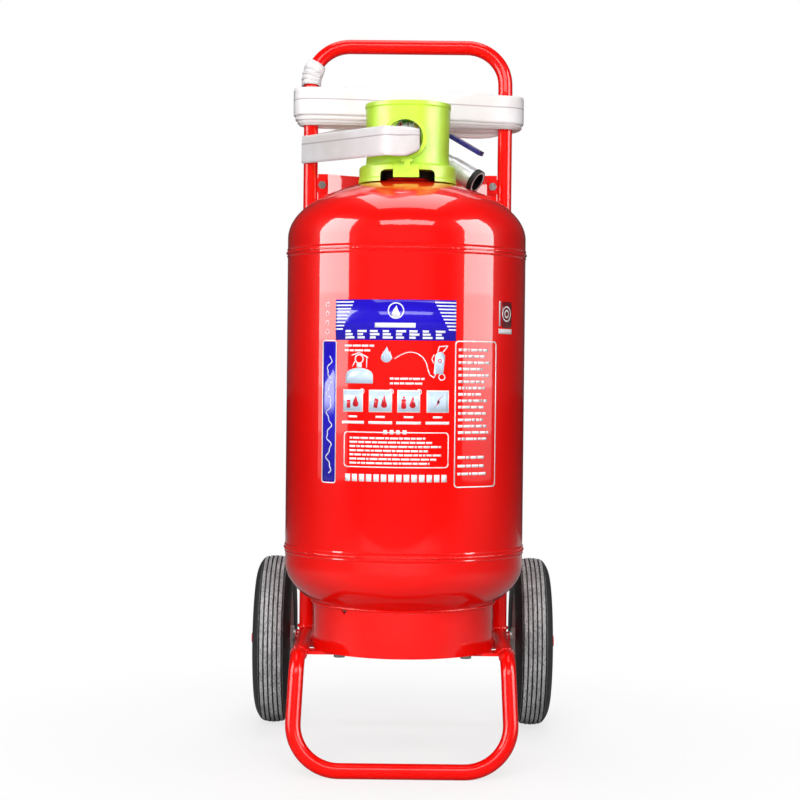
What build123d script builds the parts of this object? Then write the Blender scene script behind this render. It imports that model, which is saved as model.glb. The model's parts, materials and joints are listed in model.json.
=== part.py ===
from build123d import *

import math
import os

# A 35 kg wheeled dry-powder fire extinguisher. Millimetres, +Z up, the front faces -Y.
# Everything is drawn round the tank's axis and moved on export, so that the origin is on the
# floor under the middle of the whole object.

# ---- Driving dimensions -------------------------------------------------------------------

TANK_R = 160.0  # outer radius of the tank
TANK_WALL = 2.5
SEAM_LOW = 279.0  # height of the lower girth weld
SEAM_HIGH = 673.0  # height of the upper girth weld
HEAD_FLANGE = 20.0  # straight part of each head
HEAD_DEPTH = TANK_R / 2  # the heads are 2:1 ellipses
CROWN_ARC = 88.0  # degrees of the ellipse, then a small flat crown

TUBE_R = 10.0  # frame tube, 20 mm outside
TUBE_WALL = 2.0
WHEEL_R = 121.5
AXLE_R = 8.0
AXLE_TUBE_R = 13.0

POST_X = 136.5  # posts and side rails, from the middle plane
POST_Y = 112.0  # posts, behind the tank's axis
AXLE_Y = 220.0  # axle, behind the tank's axis
FOOT_Y = 167.0  # foot bar, in front of the tank's axis
FOOT_X = 141.0  # the foot loop is a little wider at the floor
HANDLE_Z = 974.0  # centre of the push handle's bar
RAIL_Z = WHEEL_R + AXLE_TUBE_R + TUBE_R  # side rails lie on the axle tube

TANK_Y = (FOOT_Y + TUBE_R - AXLE_Y - WHEEL_R) / 2  # puts the origin under the middle
RUNNING = 0.05  # radial clearance of every running fit
GAP = 0.1  # gap between neighbours that only sit beside each other

# ---- Frame --------------------------------------------------------------------------------

HANDLE_LEAN_Z = 905.0  # the handle leans back above this height
HANDLE_LEAN_Y = 14.0
HANDLE_CORNER_R = 54.0
FOOT_CORNER_R = 60.0
KNEE_Y = 112.0  # the foot loop's knees, in front of the tank's axis
KNEE_R = 32.0
RAIL_FRONT_Y = 78.0  # where rail and foot loop are butt welded
RAIL_REAR_Y = AXLE_Y + 12.0
PLATE_LOW = 690.0  # the back plate between the posts
PLATE_TOP = 793.0
PLATE_THICK = 3.0
PLATE_R = TANK_R + 0.2
EAR_Y = POST_Y + 2.0
EAR_BOLT_X = 120.0
EAR_BOLT_ZS = (716.0, 777.0)
EAR_BOLT_R = 3.0  # M6, 10 mm across the flats
EAR_HEX = 10.0

# ---- Running gear -------------------------------------------------------------------------

WHEEL_X = 187.0  # middle of each wheel
TYRE_HALF = 26.0
TREAD_HALF = 16.0
RIM_R = 72.0
HUB_HALF = 27.0
HUB_R = 19.0
BUSH_R = 12.0
WASHER = 2.5
AXLE_HALF = 222.0
AXLE_TUBE_HALF = WHEEL_X - HUB_HALF - WASHER - 2 * GAP
SPLIT_PIN_X = AXLE_HALF - 3.5
RIB_COUNT = 5  # ribs of the tread
GROOVE_WIDTH = 2.4
GROOVE_DEPTH = 2.6
SPOKE_COUNT = 6  # stiffening ribs on each side of a wheel's disc

# ---- Tank fittings ------------------------------------------------------------------------

RING_R = 122.0
RING_WALL = 3.0
RING_LOW = 145.0
NECK_R = 21.0
NECK_BOSS_R = 30.0
NECK_TOP = 786.0
BAR_THICK = 4.0  # cradle bars under the base ring
BAR_WIDTH = 30.0
BAR_TOP = RING_LOW - 0.05
BAR_YS = (-45.0, 60.0)
CLIP_X = 84.0  # bolts through the bars and the ring's clips

# ---- Head valve ---------------------------------------------------------------------------

FLANGE_LOW = NECK_TOP + 2.0
FLANGE_TOP = FLANGE_LOW + 9.0
COLUMN_R = 18.0
COLUMN_TOP = 846.0
OUTLET_Z = 812.0
OUTLET_R = 8.5
GAUGE_Z = 838.0
GAUGE_R = 17.0
GAUGE_FRONT = 32.0
COUPLING_BACK = GAUGE_FRONT + 1.05  # the hose coupling starts in front of the gauge
COUPLING_FRONT = COUPLING_BACK + 16.0
LEVER_Z = 858.0  # lever pivot
LOCK_R = 12.0  # safety pin, above the pivot
CAM_R = 8.0
CAM_THROW = 2.0
STEM_GAP = 0.8
STEM_TOP = LEVER_Z - math.sqrt(CAM_R**2 - CAM_THROW**2) - STEM_GAP
DISC_TOP = 799.9
SPRING_LOW = 780.0

# ---- Valve guard --------------------------------------------------------------------------

GUARD_R = 57.0
GUARD_WALL = 3.0
GUARD_TOP = 874.0
SKIRT_R = 65.0
SKIRT_LOW = 767.5
SKIRT_TOP = 791.0
WINDOW_X = -4.0
WINDOW_Z = 824.0
WINDOW_R = 24.0
WINDOW_RIM_R = 29.0

# ---- Spray gun: measured back from the muzzle along the barrel ------------------------------

MUZZLE = Vector(96.0, 40.0, 776.0)
GUN_BACK = Vector(-0.7825, 0.371, 0.5)  # from the muzzle towards the hose
BARREL_R = 15.0
BORE_R = 12.0
BARREL_LENGTH = 62.0
BALL_AT = 80.0
BALL_R = 11.0
GUN_BODY_END = 98.0
GUN_TAIL_START = 112.0
GUN_TAIL_END = 130.0
GUN_LEVER_HEIGHT = 36.0
LEVER_TIP = 15.0
LEVER_THICK = 3.0

# ---- Hose ---------------------------------------------------------------------------------

HOSE_WIDTH = 42.0  # lay-flat width of a 25 mm hose
HOSE_THICK = 2.4
PACK_GAP = 0.8  # between a post and the wound hose
PACK_THICK = 13.5
PACK_LOW_LEFT, PACK_LOW_RIGHT = 858.0, 853.0
PACK_TOP_LEFT, PACK_TOP_RIGHT = 914.0, 898.0


# ---- Helpers ------------------------------------------------------------------------------


def along_x(radius, start, end, y, z):
    """A round bar along X."""
    bar = Cylinder(radius, end - start, rotation=(0, 90, 0))
    return Pos((start + end) / 2, y, z) * bar


def along_y(radius, start, end, x, z):
    """A round bar along Y."""
    bar = Cylinder(radius, end - start, rotation=(90, 0, 0))
    return Pos(x, (start + end) / 2, z) * bar


def upright(radius, low, high, x=0.0, y=0.0):
    """A round bar along Z."""
    return Pos(x, y, (low + high) / 2) * Cylinder(radius, high - low)


def block(low, high):
    """A box between two corners."""
    size = [b - a for a, b in zip(low, high)]
    middle = [(a + b) / 2 for a, b in zip(low, high)]
    return Pos(*middle) * Box(*size)


def hexagon(across, low, high):
    """An upright hexagonal prism."""
    return Pos(0, 0, low) * extrude(RegularPolygon(across / math.sqrt(3), 6), high - low)


def turned(points):
    """A solid of revolution about Z, from its outline of radius and height."""
    outline = make_face(Plane.XZ * Polyline(*points, close=True))
    return revolve(outline, Axis.Z)


def rod_along(path, radius):
    """A round bar swept along a path of straight runs and arcs."""
    section = Plane(origin=path @ 0, z_dir=path % 0) * Circle(radius)
    return sweep(section, path=path)


def tube_along(path, radius, wall):
    """A tube swept along a path of straight runs and arcs."""
    return rod_along(path, radius) - rod_along(path, radius - wall)


def mirrored(shape):
    """The same piece on the other side of the middle plane."""
    return mirror(shape, about=Plane.YZ)


def band(stations, thickness):
    """A flat strip stood on edge: stations are (x, y, z of its middle, width)."""
    faces = []
    for i, (x, y, z, width) in enumerate(stations):
        before = stations[max(i - 1, 0)]
        after = stations[min(i + 1, len(stations) - 1)]
        arrive = Vector(x - before[0], y - before[1], 0)
        leave = Vector(after[0] - x, after[1] - y, 0)
        arrive = (arrive if arrive.length > 0 else leave).normalized()
        leave = (leave if leave.length > 0 else arrive).normalized()
        bisector = (arrive + leave).normalized()
        across = Vector(-bisector.Y, bisector.X, 0)
        half = across * (thickness / 2 / across.dot(Vector(-leave.Y, leave.X, 0)))
        up = Vector(0, 0, width / 2)
        middle = Vector(x, y, z)
        corners = [middle - half - up, middle + half - up, middle + half + up, middle - half + up]
        faces.append(make_face(Polyline(*corners, close=True)))
    strip = loft(faces[:2], ruled=True)
    for first, second in zip(faces[1:], faces[2:]):
        strip += loft([first, second], ruled=True)
    return strip


# ---- Tank ---------------------------------------------------------------------------------


def head_solid(radius, depth):
    """A solid 2:1 head with its straight flange, opening downwards at height 0."""
    arc = EllipticalCenterArc((0, HEAD_FLANGE), radius, depth, 0, arc_size=CROWN_ARC)
    rest = Polyline(arc @ 1, (0, (arc @ 1).Y), (0, 0), (radius, 0), (radius, HEAD_FLANGE))
    return revolve(make_face(Plane.XZ * (arc + rest)), Axis.Z)


def head_shell():
    """The same head as a pressed shell of the tank's wall thickness."""
    inner_r, inner_depth = TANK_R - TANK_WALL, HEAD_DEPTH - TANK_WALL
    outer = EllipticalCenterArc((0, HEAD_FLANGE), TANK_R, HEAD_DEPTH, 0, arc_size=CROWN_ARC)
    inner = EllipticalCenterArc((0, HEAD_FLANGE), inner_r, inner_depth, 0, arc_size=CROWN_ARC)
    crown = Polyline(outer @ 1, (0, (outer @ 1).Y), (0, (inner @ 1).Y), inner @ 1)
    rim = Polyline((TANK_R, HEAD_FLANGE), (TANK_R, 0), (inner_r, 0), (inner_r, HEAD_FLANGE))
    return revolve(make_face(Plane.XZ * (outer + crown + inner + rim)), Axis.Z)


def upper_outside():
    """The upper head as a solid, to fit other pieces to it."""
    return Pos(0, 0, SEAM_HIGH) * head_solid(TANK_R + GAP, HEAD_DEPTH + GAP)


def lower_outside():
    """The lower head as a solid, to fit other pieces to it."""
    return Pos(0, 0, SEAM_LOW) * Rot(180, 0, 0) * head_solid(TANK_R + GAP, HEAD_DEPTH + GAP)


def tank_barrel():
    middle = (SEAM_LOW + SEAM_HIGH) / 2
    shell = Cylinder(TANK_R, SEAM_HIGH - SEAM_LOW) - Cylinder(TANK_R - TANK_WALL, SEAM_HIGH)
    return Pos(0, 0, middle) * shell


def tank_upper_head():
    head = Pos(0, 0, SEAM_HIGH) * head_shell()
    return head - upright(NECK_R, SEAM_HIGH, NECK_TOP)


def tank_lower_head():
    return Pos(0, 0, SEAM_LOW) * Rot(180, 0, 0) * head_shell()


def seam_weld(height):
    """Two fine raised lines, the edges of one girth weld."""
    bead_half = 1.6
    bead_height = 1.1
    spacing = 4.5
    beads = []
    for z in (height - spacing, height + spacing):
        ridge = [(TANK_R, z - bead_half), (TANK_R + bead_height, z), (TANK_R, z + bead_half)]
        beads.append(turned(ridge))
    web = turned(
        [
            (TANK_R, height - spacing),
            (TANK_R + 0.3, height - spacing),
            (TANK_R + 0.3, height + spacing),
            (TANK_R, height + spacing),
        ]
    )
    return beads[0] + beads[1] + web


def base_ring():
    ring_top = SEAM_LOW - HEAD_FLANGE
    wall = upright(RING_R, RING_LOW, ring_top)
    wall -= upright(RING_R - RING_WALL, RING_LOW - 1, ring_top + 1)
    ring = wall - lower_outside()
    notch_angle = 39.0  # left of the front, then two more round the ring
    notch_z = 209.0
    for turn in (0, 120, 240):
        angle = math.radians(270 - notch_angle + turn)
        spot = Pos(RING_R * math.cos(angle), RING_R * math.sin(angle), notch_z)
        ring -= spot * Rot(0, 0, math.degrees(angle)) * Rot(45, 0, 0) * Box(20, 15, 15)
    return ring


def neck_boss():
    boss = upright(NECK_BOSS_R, SEAM_HIGH + 60, NECK_TOP) - upright(NECK_R, SEAM_HIGH, NECK_TOP + 1)
    return boss - upper_outside()


def dip_tube():
    return upright(9.0, 205.0, 774.0) - upright(7.5, 200.0, 780.0)


def powder_charge():
    """The powder fills the tank up to a free space under the upper weld."""
    fill_top = SEAM_HIGH - 60.0
    radius = TANK_R - TANK_WALL - GAP
    low = Pos(0, 0, SEAM_LOW) * Rot(180, 0, 0) * head_solid(radius, HEAD_DEPTH - TANK_WALL - GAP)
    return low + upright(radius, SEAM_LOW, fill_top) - upright(9.0 + GAP, 0, fill_top + 1)


# ---- Frame --------------------------------------------------------------------------------


def handle_path():
    """From the left rail up the left post, over the handle and down the right post."""
    top_y = POST_Y + HANDLE_LEAN_Y
    return FilletPolyline(
        (-POST_X, POST_Y, RAIL_Z),
        (-POST_X, POST_Y, HANDLE_LEAN_Z),
        (-POST_X, top_y, HANDLE_Z),
        (POST_X, top_y, HANDLE_Z),
        (POST_X, POST_Y, HANDLE_LEAN_Z),
        (POST_X, POST_Y, RAIL_Z),
        radius=[80, HANDLE_CORNER_R, HANDLE_CORNER_R, 80],
    )


def foot_path():
    """From the left rail's end forward, down, across the floor and back up."""
    left = [
        (-POST_X, -RAIL_FRONT_Y, RAIL_Z),
        (-POST_X, -KNEE_Y, RAIL_Z),
        (-FOOT_X, -FOOT_Y, TUBE_R),
    ]
    right = [(-x, y, z) for x, y, z in reversed(left)]
    return FilletPolyline(*left, *right, radius=[KNEE_R, FOOT_CORNER_R, FOOT_CORNER_R, KNEE_R])


def side_rail():
    """The right side rail, coped where it lies on the axle tube."""
    length = RAIL_REAR_Y + RAIL_FRONT_Y
    rail = along_y(TUBE_R, -RAIL_FRONT_Y, RAIL_REAR_Y, POST_X, RAIL_Z)
    bore = along_y(TUBE_R - TUBE_WALL, -length, length, POST_X, RAIL_Z)
    return rail - bore - along_x(AXLE_TUBE_R + 0.01, 0, 2 * POST_X, AXLE_Y, WHEEL_R)


def push_handle_frame():
    """Posts and handle in one tube, coped where the posts stand on the rails."""
    frame = tube_along(handle_path(), TUBE_R, TUBE_WALL)
    for x in (-POST_X, POST_X):
        frame -= along_y(TUBE_R + 0.01, 0, AXLE_Y, x, RAIL_Z)
    return frame


def foot_loop():
    return tube_along(foot_path(), TUBE_R, TUBE_WALL)


def cradle_bar(y):
    """A flat bar between the rails, under the base ring, with two bolt holes inside the ring."""
    half = POST_X - TUBE_R + 1.0
    low = BAR_TOP - BAR_THICK
    bar = block((-half, y - BAR_WIDTH / 2, low), (half, y + BAR_WIDTH / 2, BAR_TOP))
    for x in (-POST_X, POST_X):
        bar -= along_y(TUBE_R + 0.01, -FOOT_Y, AXLE_Y, x, RAIL_Z)
    for x in (-CLIP_X, CLIP_X):
        bar -= upright(4.5, low - 1, BAR_TOP + 1, x, y)
    return bar


def ring_clips():
    """Four angle clips welded inside the base ring; the cradle bars are bolted to them."""
    clips = []
    for y in BAR_YS:
        edge = math.sqrt((RING_R - RING_WALL) ** 2 - (abs(y) + 11) ** 2) - 0.3
        for side in (-1, 1):
            floor_low, floor_high = RING_LOW, RING_LOW + 3
            xs = sorted((side * (CLIP_X - 10), side * edge))
            foot = block((xs[0], y - 11, floor_low), (xs[1], y + 11, floor_high))
            wall_xs = sorted((side * (edge - 3), side * edge))
            wall = block((wall_xs[0], y - 11, floor_low), (wall_xs[1], y + 11, floor_low + 22))
            clips.append(foot + wall - upright(4.5, floor_low - 1, floor_high + 1, side * CLIP_X, y))
    return Compound(children=clips)


def ring_bolts():
    """Four bolts up through the cradle bars, with their nuts."""
    bolts = []
    for y in BAR_YS:
        for x in (-CLIP_X, CLIP_X):
            low = BAR_TOP - BAR_THICK - 0.05
            head = Pos(x, y, 0) * hexagon(13.0, low - 5.3, low)
            shank = upright(4.0, low - 1, RING_LOW + 12, x, y)
            nut = Pos(x, y, 0) * hexagon(13.0, RING_LOW + 3.05, RING_LOW + 9.5)
            bolts.append(head + shank + nut)
    return Compound(children=bolts)


def back_plate():
    """A curved plate behind the tank's shoulder, with flat ears, stiffened by its top flange."""
    height = PLATE_TOP - PLATE_LOW
    outer = PLATE_R + PLATE_THICK
    ring = upright(outer, PLATE_LOW, PLATE_TOP) - upright(PLATE_R, PLATE_LOW - 1, PLATE_TOP + 1)
    flange = upright(outer + 7, PLATE_TOP - PLATE_THICK, PLATE_TOP) - upright(PLATE_R, 0, 2 * PLATE_TOP)
    wide = 2 * TANK_R
    behind = block((-wide, EAR_Y + 0.5, 0), (wide, wide, 2 * PLATE_TOP))
    curved = (ring + flange) & behind
    ear_in = math.sqrt(PLATE_R**2 - EAR_Y**2)
    ears = []
    for side in (-1, 1):
        xs = sorted((side * ear_in, side * (POST_X - TUBE_R - 0.5)))
        ears.append(block((xs[0], EAR_Y, PLATE_LOW), (xs[1], EAR_Y + PLATE_THICK, PLATE_LOW + height)))
    plate = curved + ears[0] + ears[1]
    for side in (-1, 1):
        for z in EAR_BOLT_ZS:
            plate -= along_y(EAR_BOLT_R + 0.3, EAR_Y - 1, EAR_Y + 20, side * EAR_BOLT_X, z)
    return plate


def post_tabs():
    """Four tabs welded to the posts' inner sides, in front of the back plate's ears."""
    tabs = []
    for side in (-1, 1):
        for z in EAR_BOLT_ZS:
            xs = sorted((side * (EAR_BOLT_X - 6), side * (POST_X - TUBE_R + 2)))
            tab = block((xs[0], EAR_Y - 4.05, z - 10), (xs[1], EAR_Y - 0.05, z + 10))
            tab -= upright(TUBE_R + 0.01, 0, HANDLE_Z, side * POST_X, POST_Y)
            tab -= along_y(EAR_BOLT_R + 0.3, EAR_Y - 9, EAR_Y + 9, side * EAR_BOLT_X, z)
            tabs.append(tab)
    return Compound(children=tabs)


def plate_bolts():
    """Four bolts with their heads in front of the tabs."""
    bolts = []
    for side in (-1, 1):
        for z in EAR_BOLT_ZS:
            front = EAR_Y - 4.1
            head = Pos(side * EAR_BOLT_X, front, z) * Rot(90, 0, 0) * hexagon(EAR_HEX, 0, 4.0)
            shank = along_y(EAR_BOLT_R, front - 1, EAR_Y + 12, side * EAR_BOLT_X, z)
            bolts.append(head + shank)
    return Compound(children=bolts)


def plate_nuts():
    nuts = []
    for side in (-1, 1):
        for z in EAR_BOLT_ZS:
            back = EAR_Y + PLATE_THICK + 0.05
            nut = Pos(side * EAR_BOLT_X, back, z) * Rot(-90, 0, 0) * hexagon(EAR_HEX, 0, 5.0)
            hole = along_y(EAR_BOLT_R + 0.02, back - 5, back + 20, side * EAR_BOLT_X, z)
            nuts.append(nut - hole)
    return Compound(children=nuts)


# ---- Running gear -------------------------------------------------------------------------

def axle_tube():
    outside = along_x(AXLE_TUBE_R, -AXLE_TUBE_HALF, AXLE_TUBE_HALF, AXLE_Y, WHEEL_R)
    return outside - along_x(AXLE_R + GAP, -AXLE_HALF, AXLE_HALF, AXLE_Y, WHEEL_R)


def axle():
    rod = along_x(AXLE_R, -AXLE_HALF, AXLE_HALF, AXLE_Y, WHEEL_R)
    for side in (-1, 1):
        rod -= upright(1.6, 0, 2 * WHEEL_R, side * SPLIT_PIN_X, AXLE_Y)
    return chamfer(rod.edges().filter_by(GeomType.CIRCLE).group_by(Axis.X)[0], 1.0)


def ring_washer(start):
    """A washer on the axle, from one face outwards."""
    washer = along_x(14.0, start, start + WASHER, AXLE_Y, WHEEL_R)
    return washer - along_x(AXLE_R + GAP, start - 1, start + WASHER + 1, AXLE_Y, WHEEL_R)


def axle_washers():
    """An inner and an outer washer at each wheel."""
    washers = []
    for start in (WHEEL_X - HUB_HALF - WASHER - GAP, WHEEL_X + HUB_HALF + GAP):
        washers.append(ring_washer(start))
        washers.append(mirrored(ring_washer(start)))
    return Compound(children=washers)


def split_pins():
    """Two split pins through the axle's ends: an eye on top and two bent legs below."""
    pins = []
    for side in (-1, 1):
        shank = upright(1.5, WHEEL_R - AXLE_R - 6, WHEEL_R + AXLE_R + 3, 0, 0)
        eye = Pos(0, 0, WHEEL_R + AXLE_R + 5) * Rot(0, 90, 0) * Torus(3.0, 1.2)
        foot = Pos(0, 0, WHEEL_R - AXLE_R - 5) * Cylinder(1.4, 11, rotation=(90, 0, 0))
        pins.append(Pos(side * SPLIT_PIN_X, AXLE_Y, 0) * (shank + eye + foot))
    return Compound(children=pins)


def wheel_place():
    """Turns a wheel drawn about Z onto the right end of the axle."""
    return Pos(WHEEL_X, AXLE_Y, WHEEL_R) * Rot(0, 90, 0)


def tyre():
    """A solid rubber tyre with rounded walls and a ribbed tread, drawn about Z."""
    shoulder_r = WHEEL_R - 2.5
    right = Plane.XZ * (
        Line((RIM_R, -20), (RIM_R, 20))
        + Line((RIM_R, 20), (80, 24.5))
        + ThreePointArc((80, 24.5), (101, TYRE_HALF), (shoulder_r, TREAD_HALF))
        + ThreePointArc((shoulder_r, TREAD_HALF), (WHEEL_R, 0), (shoulder_r, -TREAD_HALF))
        + ThreePointArc((shoulder_r, -TREAD_HALF), (101, -TYRE_HALF), (80, -24.5))
        + Line((80, -24.5), (RIM_R, -20))
    )
    body = revolve(make_face(right), Axis.Z)
    pitch = 2 * TREAD_HALF / RIB_COUNT
    for i in range(RIB_COUNT + 1):
        middle = -TREAD_HALF + i * pitch
        edge = WHEEL_R - 2.5 * (middle / TREAD_HALF) ** 2
        low, high = middle - GROOVE_WIDTH / 2, middle + GROOVE_WIDTH / 2
        body -= turned(
            [
                (edge - GROOVE_DEPTH, low + 0.4),
                (edge - GROOVE_DEPTH, high - 0.4),
                (edge + 4, high + 0.4),
                (edge + 4, low - 0.4),
            ]
        )
    return body


def wheel_hub():
    """A rim and a closed disc on a hub tube, stiffened by ribs on both sides, drawn about Z."""
    rim_in = RIM_R - 3
    rim = turned([(rim_in, -22), (RIM_R - GAP, -22), (RIM_R - GAP, 22), (rim_in, 22)])
    disc = turned([(HUB_R - 2, -2), (rim_in + 1, -2), (rim_in + 1, 2), (HUB_R - 2, 2)])
    tube = turned([(BUSH_R, -HUB_HALF), (HUB_R, -HUB_HALF), (HUB_R, HUB_HALF), (BUSH_R, HUB_HALF)])
    spoke = Box(rim_in - HUB_R + 4, 5, 20)
    spokes = PolarLocations((rim_in + HUB_R) / 2, SPOKE_COUNT) * spoke
    return rim + disc + tube + spokes


def wheel_bush():
    bush = Cylinder(BUSH_R - 0.02, 2 * HUB_HALF) - Cylinder(AXLE_R + RUNNING, 3 * HUB_HALF)
    return bush


# ---- Head valve ---------------------------------------------------------------------------

def valve_body():
    body = upright(NECK_R - GAP, 756, FLANGE_LOW) + hexagon(54, FLANGE_LOW, FLANGE_TOP)
    body += upright(COLUMN_R, FLANGE_TOP, COLUMN_TOP)
    body += along_y(OUTLET_R, 0.05 - COUPLING_BACK, 0, 0, OUTLET_Z)
    body += along_y(6.0, -GAUGE_FRONT + 12.0, 0, 0, GAUGE_Z)
    body -= upright(9.05, 750, 775) + upright(5.0, 774, 781) + upright(9.0, SPRING_LOW, 800)
    body -= upright(5.0, 799, 801) + upright(10.0, 800.9, 826) + upright(3.05, 825, 900)
    body -= along_y(6.0, -40, 0, 0, OUTLET_Z)
    ear = block((-7, -8, COLUMN_TOP - 1), (7, 8, GUARD_TOP + 1)) - block((-9, -4, COLUMN_TOP), (9, 4, 900))
    ear -= along_y(2.55, -20, 20, 0, LEVER_Z) + along_y(1.6, -20, 20, 0, LEVER_Z + LOCK_R)
    ear -= upright(3.05, 825, 900)
    return body + ear


def neck_gasket():
    return upright(NECK_BOSS_R - 1, NECK_TOP, FLANGE_LOW) - upright(NECK_R, NECK_TOP - 1, FLANGE_LOW + 1)


def valve_stem():
    """The stem with its disc: pushed down, it lets the powder up."""
    disc = turned([(0, 796), (8, 796), (8, DISC_TOP - 1.5), (5, DISC_TOP), (0, DISC_TOP)])
    return disc + upright(3.0, 796, STEM_TOP) + upright(2.5, 790, 797)


def valve_spring():
    """The spring under the disc, holding the valve shut."""
    wire_r = 0.9
    coil = Helix(pitch=4.4, height=796 - SPRING_LOW - 2 * wire_r - 0.4, radius=6.6)
    section = Plane(origin=coil @ 0, z_dir=coil % 0) * Circle(wire_r)
    return Pos(0, 0, SPRING_LOW + wire_r + 0.2) * sweep(section, path=coil, is_frenet=True)


def wedge(start, end, radius):
    """A flat sector in the XZ plane, angles in degrees from +X towards +Z."""
    corners = [(0, 0)]
    steps = 6
    for i in range(steps + 1):
        angle = math.radians(start + (end - start) * i / steps)
        corners.append((2 * radius * math.cos(angle), 2 * radius * math.sin(angle)))
    return make_face(Plane.XZ * Polyline(*corners, close=True))


def thick_wedge(inner, outer, start, end, half):
    """A ring sector about the Y axis, as thick as twice half."""
    sector = Pos(0, half, 0) * extrude(wedge(start, end, outer), 2 * half, dir=(0, -1, 0))
    return (sector & along_y(outer, -half, half, 0, 0)) - along_y(inner, -2 * half, 2 * half, 0, 0)


def valve_lever():
    """The cam lever. It lies to the right and is lifted upright to open the valve."""
    cam = along_y(CAM_R, -3, 3, -CAM_THROW, 0)
    hub = thick_wedge(1.0, 15.0, -14, 104, 3) + cam
    slot = thick_wedge(LOCK_R - 1.8, LOCK_R + 1.8, -9, 99, 4)
    arm = block((12, -3, -4), (30, 3, 4)) + block((26, -9, -2.5), (46, 9, 2.5))
    arm = arm + thick_wedge(12.0, 17.0, -12, 20, 3)
    lever = (hub - slot) + (arm - thick_wedge(0.5, LOCK_R + 1.8, -9, 99, 4))
    return Pos(0, 0, LEVER_Z) * (lever - along_y(2.5 + RUNNING, -10, 10, 0, 0))


def lever_pivot():
    pin = along_y(2.5, -8.2, 8.2, 0, LEVER_Z)
    return pin + along_y(4.0, -10.2, -8.2, 0, LEVER_Z)


def safety_pin():
    """A pin through both ears, with its pull ring behind."""
    z = LEVER_Z + LOCK_R
    pin = along_y(1.5, -9.5, 13.5, 0, z)
    return pin + Pos(0, 20, z) * Rot(0, 90, 0) * Torus(6.5, 1.1)


def gauge_case():
    back = -GAUGE_FRONT + 12.0
    cup = along_y(GAUGE_R, -GAUGE_FRONT, back, 0, GAUGE_Z)
    cup -= along_y(GAUGE_R - 1.2, -GAUGE_FRONT - 1, back - 1.5, 0, GAUGE_Z)
    return cup + along_y(0.8, -GAUGE_FRONT + 5.5, back - 1, 0, GAUGE_Z)


def gauge_dial():
    dial = along_y(GAUGE_R - 1.3, -GAUGE_FRONT + 9.0, -GAUGE_FRONT + 9.8, 0, GAUGE_Z)
    return dial - along_y(0.9, -40, 0, 0, GAUGE_Z)


def gauge_needle():
    """The needle points straight up at rest."""
    front, back = -GAUGE_FRONT + 6.0, -GAUGE_FRONT + 7.0
    blade = block((-0.7, front, GAUGE_Z - 5), (0.7, back, GAUGE_Z + 12))
    boss = along_y(2.2, front, back, 0, GAUGE_Z)
    return blade + boss - along_y(0.8 + RUNNING, -40, 0, 0, GAUGE_Z)


def gauge_lens():
    return along_y(GAUGE_R - 1.3, -GAUGE_FRONT + 0.5, -GAUGE_FRONT + 2.0, 0, GAUGE_Z)


def outlet_coupling():
    """The swivel nut and barb that carry the hose."""
    nut = Pos(0, -COUPLING_BACK, OUTLET_Z) * Rot(90, 0, 0) * hexagon(25, 0, 8)
    barb = along_y(9.0, -COUPLING_FRONT, -COUPLING_BACK - 6, 0, OUTLET_Z)
    return nut + barb - along_y(6.0, -60, 0, 0, OUTLET_Z)


def hose_clamp():
    """The clamp that holds the hose on the barb."""
    outside = along_y(13.0, -COUPLING_FRONT + 0.5, -COUPLING_BACK - 8.5, 0, OUTLET_Z)
    return outside - along_y(9.05, -60, 0, 0, OUTLET_Z)


# ---- Valve guard --------------------------------------------------------------------------


def guard_outline(inset):
    """Half the guard's section, as radius and height, drawn inset from its outside."""
    return [
        (0, SKIRT_LOW - inset),
        (SKIRT_R + 1.0 - inset, SKIRT_LOW - inset),
        (SKIRT_R + 1.0 - inset, SKIRT_LOW + 4),
        (SKIRT_R - inset, SKIRT_LOW + 6),
        (SKIRT_R - inset, SKIRT_TOP - 3 - inset),
        (SKIRT_R - 3 - inset, SKIRT_TOP - inset),
        (GUARD_R - 0.6 - inset, SKIRT_TOP + 1 - inset),
        (GUARD_R - 1.6 - inset, SKIRT_TOP + 12),
        (GUARD_R - 1.2 - inset, WINDOW_Z + 10),
        (GUARD_R - inset, GUARD_TOP - 7),
        (GUARD_R + 1.0 - inset, GUARD_TOP - 5),
        (GUARD_R + 1.0 - inset, GUARD_TOP + inset),
        (0, GUARD_TOP + inset),
    ]


def valve_guard():
    """The plastic guard round the valve, open on top, with a round window in front."""
    outside = turned(guard_outline(0))
    inside = turned(guard_outline(GUARD_WALL))
    window_ring = along_y(WINDOW_RIM_R, -GUARD_R - 3.5, -30, WINDOW_X, WINDOW_Z) - inside
    shelf_r = SKIRT_R - 1
    shelf = upright(shelf_r, 783.5, 786.5) - upright(NECK_BOSS_R + 0.6, 700, 900)
    top_lip = upright(GUARD_R, GUARD_TOP - 3, GUARD_TOP) - upright(GUARD_R - 6, 700, 900)
    guard = (outside - inside) + window_ring + shelf + top_lip
    guard -= along_y(WINDOW_R, -2 * GUARD_R, -20, WINDOW_X, WINDOW_Z)
    arch = block((-36, -2 * GUARD_R, 700), (36, -40, 776)) + along_y(6.0, -2 * GUARD_R, -40, -30, 776)
    arch += along_y(6.0, -2 * GUARD_R, -40, 30, 776) + block((-30, -2 * GUARD_R, 775), (30, -40, 782))
    return guard - arch - upper_outside()


def guard_tab():
    """The tab that hangs in front of the arched cut-out, with its small catch."""
    front = -SKIRT_R - 4.0
    tab = block((-19, front, 771), (15, -SKIRT_R - 1.05, 786))
    tab += block((-5, front - 1.5, 780), (3, front, 795))
    hook = block((-8, front - 1.5, 791), (6, front, 795))
    return tab + hook


def clamp_ring():
    """The dark ring round the neck that the guard's shelf rests on."""
    ring = upright(37, 773.5, 783.3) - upright(NECK_BOSS_R + GAP, 700, 900)
    return ring - upper_outside()


# ---- Spray gun ----------------------------------------------------------------------------

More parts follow.
